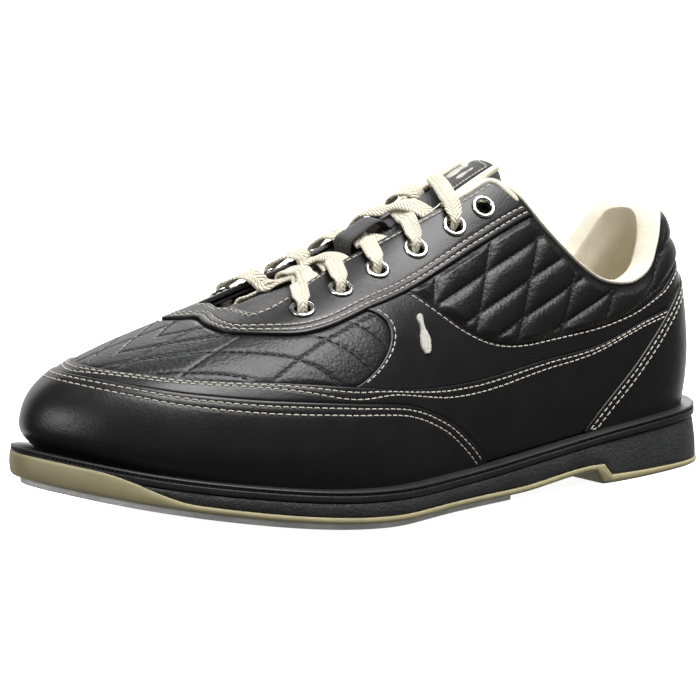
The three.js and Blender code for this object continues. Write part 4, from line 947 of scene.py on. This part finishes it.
out_levels = [(lambda x: -bumper_wall(x) - 0.1, outsole_floor, s) for s in (1.0, 0.5, 0.0)]
out_levels.append((lambda x: -bumper_wall(x), bumper_top, 0.0))
for share, bulge in OUTSOLE_WALL:
    def outsole_out(x, bulge=bulge):
        return flare(x) + bulge + 0.5 * lip(x)

    out_levels.append((outsole_out, between(outsole_bottom, bumper_rim, share), 0.0))
out_levels += [(flare, outsole_bottom, s) for s in (0.1, 0.4, 0.7, 1.0)]
band("outsole_rubber", RIM, out_levels, KHAKI_RUBBER, "khaki_rubber", ["outsole"])

pad_start = u_at(PAD_START)
pad_us = np.linspace(pad_start, 1 - pad_start, 420)
pad_top, pad_low = raised(ground, PAD_THICKNESS), ground
pad_levels = [(-PAD_INSET, pad_top, s) for s in (1.0, 0.5, 0.03)] + [(-PAD_INSET - 0.05, pad_top, 0.0)]
pad_levels += [(-PAD_INSET, between(pad_low, pad_top, s), 0.0) for s in (0.75, 0.25)]
pad_levels += [(-PAD_INSET - 0.25, pad_low, s) for s in (0.0, 0.03, 0.5, 1.0)]
band("slide_pad_felt", pad_us, pad_levels, FELT, "grey_felt", ["slide_pad"], caps=True)

WELT_PROFILE = [  # offset outwards, and height over the welt line, round the groove
    (-13.0, -0.3), (-3.4, 0.0), (-1.2, 0.0), (-0.4, -0.04), (0.1, -0.2), (0.3, -0.5), (0.3, -0.75),
    (0.1, -0.88), (-0.3, -1.1), (-0.5, -1.35), (-0.3, -1.6), (0.1, -1.8), (0.3, -1.95), (0.32, -2.3),
    (0.32, -3.5), (0.2, -3.95), (-0.2, -4.2), (-13.0, -4.2),
]
GROOVE_OUT, GROOVE_DROP = -0.3, -1.35
welt_levels = [(out, raised(welt_z, drop), 0.0) for out, drop in WELT_PROFILE]
band("welt_strip", RIM, welt_levels + [welt_levels[0]], WELT_RUBBER, "black_rubber", ["welt"])
rim_u = np.linspace(0, 1, 1600)
rim, further = (outline(rim_u, np.full(rim_u.shape, GROOVE_OUT + out)) for out in (0.0, 1.0))
groove_line = np.concatenate([rim, welt_z(ring_value(RING_X, rim_u))[:, None] + GROOVE_DROP], 1)
outward = np.concatenate([further - rim, np.zeros((len(rim), 1))], 1)
ribs = dict(pitch=1.75, length=1.9, radius=0.42, lift=0.1, slant=0.55)
sew("welt_ribs", [(groove_line, outward, ribs)], WELT_RUBBER, "black_rubber")

# ---- linings
INNER_OUT, LINING, ROLL_HEIGHT, COLLAR_FOAM = -4.0, 1.1, 3.0, 5.6
FOAM_FOOT = [  # the line that the collar's foam ends on: distance from the heel in u, and v
    (0, 0.27), (0.04, 0.25), (0.08, 0.185), (0.1, 0.135), (0.125, 0.09), (0.155, 0.09), (0.18, 0.2),
    (0.19, 0.35),
]


def heelward(u):
    return np.abs(np.mod(u + 0.5, 1.0) - 0.5)


def foam_swell(u, v):
    """How far the collar's foam pushes the lining inwards."""
    low = profile(FOAM_FOOT, heelward(u))
    return (COLLAR_FOAM - 1) * smooth(low - 0.03, low + 0.08, v) * (1 - smooth(0.172, 0.196, heelward(u)))


def spline(points, pieces):
    """Smooth curve through the points along axis 1, with that many pieces per span."""
    n = points.shape[1]
    s = np.linspace(0, n - 1, (n - 1) * pieces + 1)
    i = np.minimum(np.floor(s).astype(int), n - 2)
    return catmull(*(points[:, np.clip(i + k, 0, n - 1)] for k in (-1, 0, 1, 2)), (s - i)[None, :, None])


t = np.linspace(0.004, 0.996, 260)
base, top = line((0.232, 0.004), (-0.232, 0.004))(t), LINING_LINE.at(t * LINING_LINE.last)
height = np.linalg.norm(surf(base[:, 0], base[:, 1]) - surf(top[:, 0], top[:, 1]), axis=1)


def lining_at(s, rise, out, swelled=0.0):
    """A row of the lining, that share of the way up and rise further on, for every t."""
    share = s + rise / height
    u, v = mix(base[:, 0], top[:, 0], share), mix(base[:, 1], top[:, 1], share)
    return surf(u, v, out - swelled * foam_swell(u, np.minimum(v, top[:, 1])))


section = [lining_at(s, 0, INNER_OUT, 1) for s in (0, 0.25, 0.5, 0.75)] + [
    lining_at(1, 0.2, INNER_OUT, 1), lining_at(1, 0.8, 0.5 * INNER_OUT, 0.5), lining_at(1, 0.3, -0.7),
    lining_at(1, 0.45, 0.35), lining_at(1, 1.5, 0.75), lining_at(1, ROLL_HEIGHT - 0.7, 0.1),
    lining_at(1, ROLL_HEIGHT, 0.5 * INNER_OUT, 0.5), lining_at(1, ROLL_HEIGHT - 0.6, INNER_OUT - 0.5, 0.9),
    lining_at(1, 0.6, INNER_OUT - LINING, 1),
] + [lining_at(s, 0, INNER_OUT - LINING, 1) for s in (0.9, 0.75, 0.5, 0.25, 0)]
grid = spline(np.stack(section, 1), 7)
obj = make_mesh("collar_lining_cloth", grid, grid_quads(*grid.shape[:2], ring_columns=True))
finish_piece(obj, CREAM_LINING, "cream_textile", replaces=["collar_lining"])

# The lining's roll goes on round the top corner of the eyestay and down the throat to the fifth eyelet.
CORNER_ROLL = Seam([
    (0.1945, 0.6), (0.1985, 0.66), (0.202, 0.72), (0.2065, 0.752), (0.213, 0.757), (0.221, 0.761),
    (0.23, 0.776), (0.239, 0.793),
])
ROLL_RINGS, ROLL_SIDES, ROLL_WIDE, ROLL_HIGH = 130, 20, 1.35, 1.9  # half sizes
for side, on in SIDES:
    t = np.linspace(0, 1, ROLL_RINGS)
    place = on(stretch(CORNER_ROLL, 0, 7))(t)
    centre, up = surf(place[:, 0], place[:, 1], -0.2), normal_at(place[:, 0], place[:, 1])
    across_way = np.cross(unit(np.gradient(centre, axis=0)), up)
    angle = np.linspace(0, 2 * math.pi, ROLL_SIDES, endpoint=False)[None, :, None]
    girth = (np.sqrt(np.clip(1 - (2 * t - 1) ** 16, 0.0, 1)) * 0.98 + 0.02)[:, None, None]
    section = ROLL_WIDE * np.cos(angle) * across_way[:, None] + ROLL_HIGH * np.sin(angle) * up[:, None]
    tube = centre[:, None] + girth * section
    obj = make_mesh("lining_roll_" + side, tube, grid_quads(ROLL_RINGS, ROLL_SIDES, ring_columns=True))
    finish_piece(obj, CREAM_LINING, "cream_textile")

# ---- tongue
TONGUE_OUT, TONGUE_PUFF, TONGUE_FOAM, TONGUE_BACK = -7.0, 1.9, 4.0, 0.192
TONGUE_EDGE = [
    (0.192, 0.66), (0.207, 0.635), (0.233, 0.64), (0.262, 0.71), (0.293, 0.77), (0.333, 0.78),
    (0.37, 0.77), (0.406, 0.74), (0.45, 0.79), (0.5, 0.83),
]
PER_U, PER_W = 797.0, 95.0  # millimetres on the tongue per unit of u and of w


def throat_v(u):
    return profile(THROAT_EDGE.points[:11], u)


def tongue_out(u, w):
    v, edge = np.minimum(w, 2 - w), throat_v(u)
    return TONGUE_OUT + TONGUE_PUFF * smooth(edge - 0.02, edge + 0.08, v)


def tongue_thickness(u, w):
    edge = smooth(0, 0.12, np.minimum(w, 2 - w) - profile(TONGUE_EDGE, u))
    return 3.0 + mix(1.2, TONGUE_FOAM, edge) * mix(1, 0.45, smooth(0.38, 0.5, u))


RIM_RADIUS, SEAM_IN, SEAM_DIP = 2.4, 7.0, 0.45  # how the tongue's rim is rounded, and its line of stitches
near_rim = np.array([0, 0.1, 0.3, 0.6, 1.0, 1.5, 2.1, 2.8])
past_rim = TONGUE_BACK + 3.6 / PER_U
us = np.concatenate([TONGUE_BACK + near_rim / PER_U, past_rim + (0.5 - past_rim) * np.linspace(0, 1, 150)])
low = profile(TONGUE_EDGE, us)[:, None]
half = low + near_rim / PER_W
half = np.concatenate([half, mix(half[:, -1:], 1.0, np.linspace(0, 1, 30)[None, 1:])], 1)
ws = np.concatenate([half, (2 - half)[:, ::-1][:, 1:]], 1)
us = np.broadcast_to(us[:, None], ws.shape)
from_rim = np.minimum((np.minimum(ws, 2 - ws) - low) * PER_W, (us - TONGUE_BACK) * PER_U)
turn = 1 - np.clip(from_rim / RIM_RADIUS, 0, 1)
depth = tongue_thickness(us, ws) / 2 * (1 - np.sqrt(np.clip(1 - turn**2, 0, 1)))
seam_dip = SEAM_DIP * np.exp(-(((from_rim - SEAM_IN) / 0.8) ** 2))
upper = across(us, ws, tongue_out(us, ws) - depth - seam_dip)
lower = across(us, ws, tongue_out(us, ws) - tongue_thickness(us, ws) + depth)
quads = grid_quads(*ws.shape)
up_way = normal_across(us, ws)
obj = make_mesh("tongue_face", upper, quads, up_way)
finish_piece(obj, MESH_CLOTH, "black_mesh", "tongue", ["tongue_shell"])
obj = make_mesh("tongue_back_lining", lower, quads, -up_way)
finish_piece(obj, CREAM_LINING, "cream_textile", "tongue", ["tongue_lining", "tongue_padding"])

# A stitched line round the tongue, inside its rim.
side_u = np.linspace(0.25, TONGUE_BACK + (SEAM_IN + 2) / PER_U, 90)
side_w = profile(TONGUE_EDGE, side_u) + SEAM_IN / PER_W
end_w = side_w[-1] + 0.02
line_u = np.concatenate([side_u, np.full(90, TONGUE_BACK + SEAM_IN / PER_U), side_u[::-1]])
line_w = np.concatenate([side_w, np.linspace(end_w, 2 - end_w, 90), (2 - side_w)[::-1]])
path = across(line_u, line_w, tongue_out(line_u, line_w) - 0.35)
row = (path, normal_across(line_u, line_w), dict(radius=0.3))
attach(sew("tongue_threads", [row], BLACK_THREAD, "black_mesh"), "tongue")

# ---- label, keeper and emblems
PIN = [  # height up a bowling pin, and its half width there
    (0, 0.1), (0.1, 0.15), (0.28, 0.19), (0.45, 0.15), (0.62, 0.08), (0.74, 0.075), (0.86, 0.105),
    (0.95, 0.085), (1, 0.04),
]


def pin_mesh(name, place, size, rise, body, replaces=()):
    """A satin-stitched bowling pin. place(across, along, out) gives points from millimetres."""
    rows = np.concatenate([[0, 0.012], np.linspace(0.03, 0.97, 44), [0.988, 1]])
    girth = profile(PIN, rows) * size
    girth[[0, -1]] *= 0.15
    girth[[1, -2]] *= 0.7
    angle = np.linspace(-math.pi / 2, math.pi / 2, 17)
    side, lift = np.sin(angle), np.cos(angle) ** 0.6
    x, y = girth[:, None] * side, np.broadcast_to(((rows - 0.5) * size)[:, None], (len(rows), 17))
    points = place(x, y, rise * lift[None, :] * np.ones_like(x))
    outward = place(x, y, np.ones_like(x)) - place(x, y, np.zeros_like(x))
    obj = make_mesh(name, points, grid_quads(*x.shape), outward, np.stack([y, x], -1) / 1000)
    return finish_piece(obj, SATIN, "white_thread", body, replaces)


CENTRE_U, CENTRE_V, EMBLEM_HEIGHT = 0.268, 0.395, 15.0
mm_u = np.linalg.norm(surf(CENTRE_U + 0.005, CENTRE_V) - surf(CENTRE_U - 0.005, CENTRE_V)) / 0.01
mm_v = np.linalg.norm(surf(CENTRE_U, CENTRE_V + 0.005) - surf(CENTRE_U, CENTRE_V - 0.005)) / 0.01
for side, _ in SIDES:
    def on_saddle(x, y, out, side=side):
        u = CENTRE_U + x / mm_u
        return surf(u if side == "lateral" else 1 - u, CENTRE_V + y / mm_v, LEVELS[1] - 0.05 + out)

    pin_mesh("emblem_thread_" + side, on_saddle, EMBLEM_HEIGHT, 1.1, "shoe", replaces=["emblem_" + side])

LABEL_U, LABEL_LENGTH, LABEL_WIDTH = 0.196, 20.0, 26.6


def on_label(x, y, out):
    u, w = LABEL_U + (LABEL_LENGTH / 2 - y) / PER_U, 1.0 + x / PER_W
    return across(u, w, tongue_out(u, np.full(np.shape(u), 1.0)) + 0.75 + out)


wide = np.linspace(-LABEL_WIDTH / 2, LABEL_WIDTH / 2, 61)
tall = np.linspace(-LABEL_LENGTH / 2, LABEL_LENGTH / 2, 47)
x, y = np.meshgrid(wide, tall, indexing="xy")
rim_mm = np.minimum(LABEL_WIDTH / 2 - np.abs(x), LABEL_LENGTH / 2 - np.abs(y))
out = 0.15 - 0.75 * (1 - np.clip(rim_mm / 0.8, 0, 1)) ** 2
ways = on_label(x, y, np.ones_like(x)) - on_label(x, y, np.zeros_like(x))
obj = make_mesh("label_patch", on_label(x, y, out), grid_quads(*x.shape), ways, np.stack([x, y], -1) / 1000)
finish_piece(obj, WEBBING, "black_mesh", "tongue", ["tongue_label"])
for k, (shift, size) in enumerate(((-6.2, 8.0), (0.0, 10.0), (6.2, 8.0))):
    def beside(x, y, out, shift=shift):
        return on_label(x + shift, y, out + 0.12)

    pin_mesh(f"label_pin_{k + 1}", beside, size, 0.5, "tongue")
corners = [(-11.6, -8.3), (11.6, -8.3), (11.6, 8.3), (-11.6, 8.3), (-11.6, -8.3)]
border = []
for (x0, y0), (x1, y1) in zip(corners, corners[1:]):
    x, y = np.linspace(x0, x1, 40), np.linspace(y0, y1, 40)
    low, middle, high = (on_label(x, y, np.full(40, out)) for out in (0.0, 0.15, 1.0))
    border.append((middle, high - low, dict(pitch=1.6, length=1.4, radius=0.28, lift=0.1)))
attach(sew("label_threads", border), "tongue")

LACE_WIDTH, LACE_THICKNESS, LACE_SLACK = 6.6, 1.5, 1.3
LACE_LOW = TONGUE_OUT + TONGUE_PUFF + LACE_SLACK + LACE_THICKNESS / 2
LACE_HIGH = LACE_LOW + LACE_THICKNESS + GAP
LACE_TUCKED = TONGUE_OUT + LACE_SLACK + LACE_THICKNESS / 2
LACE_ON_LABEL, LACE_LOWEST_BAR = LACE_LOW + 1.4, LACE_LOW + 0.5
LACE_ON_FLANGE = FLANGE_TOP + GAP + LACE_THICKNESS / 2
KEEPER_ROOM, KEEPER_HALF_WIDTH, KEEPER_THICKNESS = 1.9, 6.0, 0.8
KEEPER_RISE = LACE_HIGH + LACE_THICKNESS / 2 + KEEPER_ROOM - (TONGUE_OUT + TONGUE_PUFF)
KEEPER = np.array([
    (0.2485, GAP), (0.2528, GAP + 0.1), (0.2545, 0.55 * KEEPER_RISE), (0.2580, 0.94 * KEEPER_RISE),
    (0.2675, KEEPER_RISE), (0.2770, 0.94 * KEEPER_RISE), (0.2805, 0.55 * KEEPER_RISE), (0.2822, GAP + 0.1),
    (0.2865, GAP),
])
bent = spline(KEEPER[None], 10)[0]
side = np.linspace(-1, 1, 21)
spread = 1 + KEEPER_HALF_WIDTH * np.concatenate([side, -side]) / PER_W
lift = np.concatenate([KEEPER_THICKNESS - 0.3 * np.abs(side) ** 6, np.zeros(21)])
u, w = np.broadcast_arrays(bent[:, :1], spread[None, :])
points = across(u, w, tongue_out(u, np.ones_like(u)) + bent[:, 1:] + lift[None, :])
run = run_along(points[:, 10])[:, None]
uv = np.stack([np.broadcast_to(run, u.shape), (w - 1) * PER_W], -1) / 1000
obj = make_mesh("keeper_webbing", points, grid_quads(*u.shape, ring_columns=True), None, uv)
finish_piece(obj, WEBBING, "black_mesh", "tongue", ["lace_keeper"])

# ---- lace
NARROW_WIDTH, NARROW_THICKNESS = 3.9, 1.9  # as it is squeezed through an eyelet
LACE_STEP, LACE_SIDES = 0.9, 24


def scale_across(u, w):
    return float(np.linalg.norm(across(u, w - 0.005, 0.0) - across(u, w + 0.005, 0.0))) / 0.01


def eyelet_on(side, row):
    u, v = EYELETS[row - 1]
    return (u, v if side == "lateral" else 2 - v)


def way_point(start, end, w, mm, out, narrow=0.0):
    """A point of the lace between two places, mm past w towards the end: (u, w, height, how narrow)."""
    towards = math.copysign(1.0, end[1] - start[1])
    moved = w + towards * mm / scale_across(start[0], w)
    share = min(max((moved - start[1]) / (end[1] - start[1]), 0.0), 1.0)
    return (mix(start[0], end[0], share), moved, out, narrow)


def throat_of(place):
    edge = float(throat_v(place[0]))
    return edge if place[1] < 1 else 2 - edge


def over_edge(start, end):
    """From an eyelet's top over the eyestay's edge and down into the throat."""
    return [
        way_point(start, end, start[1], 1, LACE_ON_FLANGE + 0.1, 1.0),
        way_point(start, end, start[1], 4.8, LACE_ON_FLANGE + 0.6),
        way_point(start, end, throat_of(start), -0.6, 3.3),
        way_point(start, end, throat_of(start), 2, 1.5),
    ]


def under_edge(start, end):
    """From an eyelet's underside out under the eyestay's edge."""
    return [
        way_point(start, end, start[1], 0.9, LACE_TUCKED - 0.25, 1.0),
        way_point(start, end, start[1], 5, LACE_TUCKED),
        way_point(start, end, throat_of(start), 0.5, LACE_TUCKED + 0.65),
    ]


def crossing(start, end, leave, arrive, middle):
    towards = math.copysign(1.0, end[1] - start[1])
    level = [way_point(start, end, 1 + w * towards, 0, middle) for w in (-0.085, 0, 0.085)]
    return leave(start, end) + level + arrive(end, start)[::-1]


def in_barrel(place):
    return (place[0], place[1], -0.6, 1.0)


def strand(sides, middle):
    stops = [eyelet_on(side, row + 1) for row, side in enumerate(sides)]
    path = [in_barrel(stops[0])]
    for k in range(1, len(stops)):
        leave = under_edge if k == 1 else over_edge
        path += crossing(stops[k - 1], stops[k], leave, under_edge, middle) + [in_barrel(stops[k])]
    return path


L, M = "lateral", "medial"
strand_a, strand_b = strand([L, M, L, M, L], LACE_HIGH), strand([M, L, M, L, M], LACE_LOW)
lowest_bar = crossing(eyelet_on(L, 1), eyelet_on(M, 1), over_edge, over_edge, LACE_LOWEST_BAR)
tuck_a, tuck_b = (0.2105, 1.3), (0.2225, 1.3)
tail_a = crossing(eyelet_on(L, 5), tuck_a, over_edge, under_edge, LACE_ON_LABEL)
tail_a.append((*tuck_a, LACE_TUCKED, 0.0))


def fold_at(u, mm, out):
    edge = (u, 2 - float(throat_v(u)))
    return way_point(edge, (u, 1.0), edge[1], mm, out)


tail_b = over_edge(eyelet_on(M, 5), (0.228, 1.0))[:3] + [
    fold_at(0.2265, 1.9, 1.4), fold_at(0.225, 3, -1.2), fold_at(0.224, 1.4, LACE_TUCKED + 1.2),
    fold_at(0.223, -2.5, LACE_TUCKED), (*tuck_b, LACE_TUCKED, 0.0),
]
route = np.array((strand_a + tail_a)[::-1] + lowest_bar + strand_b + tail_b, float)


def chordal(points, s):
    """Centripetal curve through the points at places s, counted in points."""
    p = np.concatenate([[2 * points[0] - points[1]], points, [2 * points[-1] - points[-2]]])
    i = np.minimum(np.floor(s).astype(int), len(points) - 2)
    t = (s - i)[:, None]
    a, b, c, d = p[i], p[i + 1], p[i + 2], p[i + 3]
    spans = (b - a, c - b, d - c)
    d0, d1, d2 = (np.maximum(np.linalg.norm(x, axis=1, keepdims=True), 1e-4) ** 0.5 for x in spans)
    t1 = ((b - a) / d0 - (c - a) / (d0 + d1) + (c - b) / d1) * d1
    t2 = ((c - b) / d1 - (d - b) / (d1 + d2) + (d - c) / d2) * d1
    return (2 * b - 2 * c + t1 + t2) * t**3 + (-3 * b + 3 * c - 2 * t1 - t2) * t**2 + t1 * t + b


def lace_mesh(name, route):
    """The flat lace, as a tube whose section turns with the route and narrows in the eyelets."""
    places = across(*route[:, :3].T)
    u, w = route[:, 0], route[:, 1]
    way = unit(across(u + 0.004, w, 0.0) - across(u - 0.004, w, 0.0))
    rough = np.linspace(0, len(places) - 1, 40 * len(places))
    run = run_along(chordal(places, rough))
    s = np.interp(np.linspace(0, run[-1], int(run[-1] / LACE_STEP)), run, rough)
    centre = chordal(places, s)
    tangent = unit(np.gradient(centre, axis=0))
    i = np.minimum(np.floor(s).astype(int), len(places) - 2)
    share = (s - i)[:, None]
    side = mix(way[i], way[i + 1], share)
    side = side - np.sum(side * tangent, 1, keepdims=True) * tangent
    for _ in range(3):
        side[1:-1] = (side[:-2] + side[1:-1] + side[2:]) / 3
    side = unit(side - np.sum(side * tangent, 1, keepdims=True) * tangent)
    face = np.cross(tangent, side)
    narrow = smooth(0, 1, mix(route[i, 3], route[i + 1, 3], share[:, 0]))[:, None, None]
    angle = np.linspace(0, 2 * math.pi, LACE_SIDES, endpoint=False)
    a = (np.sign(np.cos(angle)) * np.abs(np.cos(angle)) ** 0.5)[None, :, None]
    b = (np.sign(np.sin(angle)) * np.abs(np.sin(angle)) ** 0.85)[None, :, None]
    half = mix(LACE_WIDTH, NARROW_WIDTH, narrow) / 2
    thick = mix(LACE_THICKNESS, NARROW_THICKNESS, narrow) / 2
    points = centre[:, None] + side[:, None] * (a * half) + face[:, None] * (b * thick)
    points = np.concatenate([points.reshape(-1, 3), [centre[0], centre[-1]]])
    ring = np.arange(0, LACE_SIDES, 2)
    cap = np.stack([ring, ring + 1, (ring + 2) % LACE_SIDES], 1)
    near, far = (np.full((len(ring), 1), len(points) - k) for k in (2, 1))
    caps = [np.hstack([near, cap]), np.hstack([far, cap[:, ::-1] + (len(s) - 1) * LACE_SIDES])]
    length = np.linspace(0, run[-1], len(s))[:, None]
    uv = np.stack([np.broadcast_to(length, (len(s), LACE_SIDES)), (a * half)[:, :, 0]], -1).reshape(-1, 2)
    uv = np.concatenate([uv, [[0, 0], [run[-1], 0]]]) / 1000
    quads = np.concatenate([grid_quads(len(s), LACE_SIDES, ring_columns=True)] + caps)
    obj = make_mesh(name, points, quads, None, uv)
    finish_piece(obj, LACE_TEXTILE, "lace_textile", replaces=["lace"])


lace_mesh("lace_cord", route)

# ---- what stays from the frame, inside the shoe
KEPT = {
    "shank": STEEL, "forefoot_filler": FOAM, "insole_board": BOARD, "footbed": CREAM_LINING,
    "toe_puff": PLASTIC, "heel_stiffener": PLASTIC, "collar_foam": FOAM, "vamp_lining": FOREPART_LINING,
    "eyestay_facing": SMOOTH_LEATHER, "aglet_a": SILVER, "aglet_b": SILVER,
}
for name, material in KEPT.items():
    mesh = nodes[name].data
    mesh.materials.clear()
    mesh.materials.append(material)
    mesh.polygons.foreach_set("use_smooth", np.ones(len(mesh.polygons), bool))
    mesh.update()

# ---- studio
FLOOR_WIDTH, BACKDROP_WIDTH, BACKDROP_DISTANCE, DOME_RADIUS = 30, 24, 12, 14


def stage_object(name, grey, emission, unseen_by):
    """Dresses the object just added as part of the studio. unseen_by lists the rays that pass through it."""
    obj = bpy.context.object
    obj.name = name
    material = bpy.data.materials.new(name + "_white")
    material.use_nodes = True
    shader = material.node_tree.nodes["Principled BSDF"]
    shader.inputs["Base Color"].default_value = (grey, grey, grey, 1)
    shader.inputs["Roughness"].default_value = 0.9
    shader.inputs["Emission Color"].default_value = (1, 1, 1, 1)
    shader.inputs["Emission Strength"].default_value = emission
    obj.data.materials.append(material)
    for ray in unseen_by:
        setattr(obj, "visible_" + ray, False)


bpy.ops.mesh.primitive_plane_add(size=FLOOR_WIDTH, location=(0, 0, 0))
stage_object("floor", 0.93, 0.9, ["glossy", "diffuse"])

CAMERA_DISTANCE, CAMERA_LENS, SENSOR_WIDTH = 1.3, 178.7, 36
target = Vector((0.01375, -0.0025, 0.0565))
azimuth, elevation = math.radians(37.2), math.radians(9.1)
level = math.cos(elevation)
back_way = Vector((math.sin(azimuth) * level, math.cos(azimuth) * level, math.sin(elevation)))
camera = bpy.data.objects.new("camera", bpy.data.cameras.new("camera"))
bpy.context.scene.collection.objects.link(camera)
camera.location = target + CAMERA_DISTANCE * back_way
camera.rotation_euler = back_way.to_track_quat("Z", "Y").to_euler()
camera.data.lens, camera.data.sensor_width = CAMERA_LENS, SENSOR_WIDTH
bpy.context.scene.camera = camera

bpy.ops.mesh.primitive_plane_add(
    size=BACKDROP_WIDTH, location=target - BACKDROP_DISTANCE * back_way, rotation=camera.rotation_euler,
)
stage_object("backdrop", 0.9, 1.2, ["diffuse"])

bpy.ops.mesh.primitive_uv_sphere_add(segments=48, ring_count=24, radius=DOME_RADIUS, location=(0, 0, 0))
stage_object("dome", 0.9, 1.2, ["diffuse", "glossy", "transmission", "shadow"])

world = bpy.data.worlds.new("studio")
world.use_nodes = True
world.node_tree.nodes["Background"].inputs["Color"].default_value = (1, 1, 1, 1)
world.node_tree.nodes["Background"].inputs["Strength"].default_value = 0.12
bpy.context.scene.world = world


def area_light(name, location, aim, size, power):
    lamp = bpy.data.lights.new(name, "AREA")
    lamp.shape, lamp.size, lamp.energy = "SQUARE", size, power
    obj = bpy.data.objects.new(name, lamp)
    bpy.context.scene.collection.objects.link(obj)
    obj.location = location
    obj.rotation_euler = (Vector(location) - Vector(aim)).to_track_quat("Z", "Y").to_euler()
    return obj


area_light("overhead", (-0.1, 0.4, 1.2), (0.0, 0.0, 0.05), 0.95, 31)
area_light("toe_side", (1.5, -0.1, 0.5), (0.1, 0.0, 0.05), 0.6, 7)
low_fill = area_light("low_fill", (0.35, 1.3, 0.1), (0.0, 0.0, 0.01), 0.5, 2.5)
low_fill.visible_glossy = False
area_light("back_rim", (-0.9, -1.0, 0.8), (0.0, 0.0, 0.08), 0.6, 8)

scene = bpy.context.scene
scene.view_settings.view_transform = "Standard"
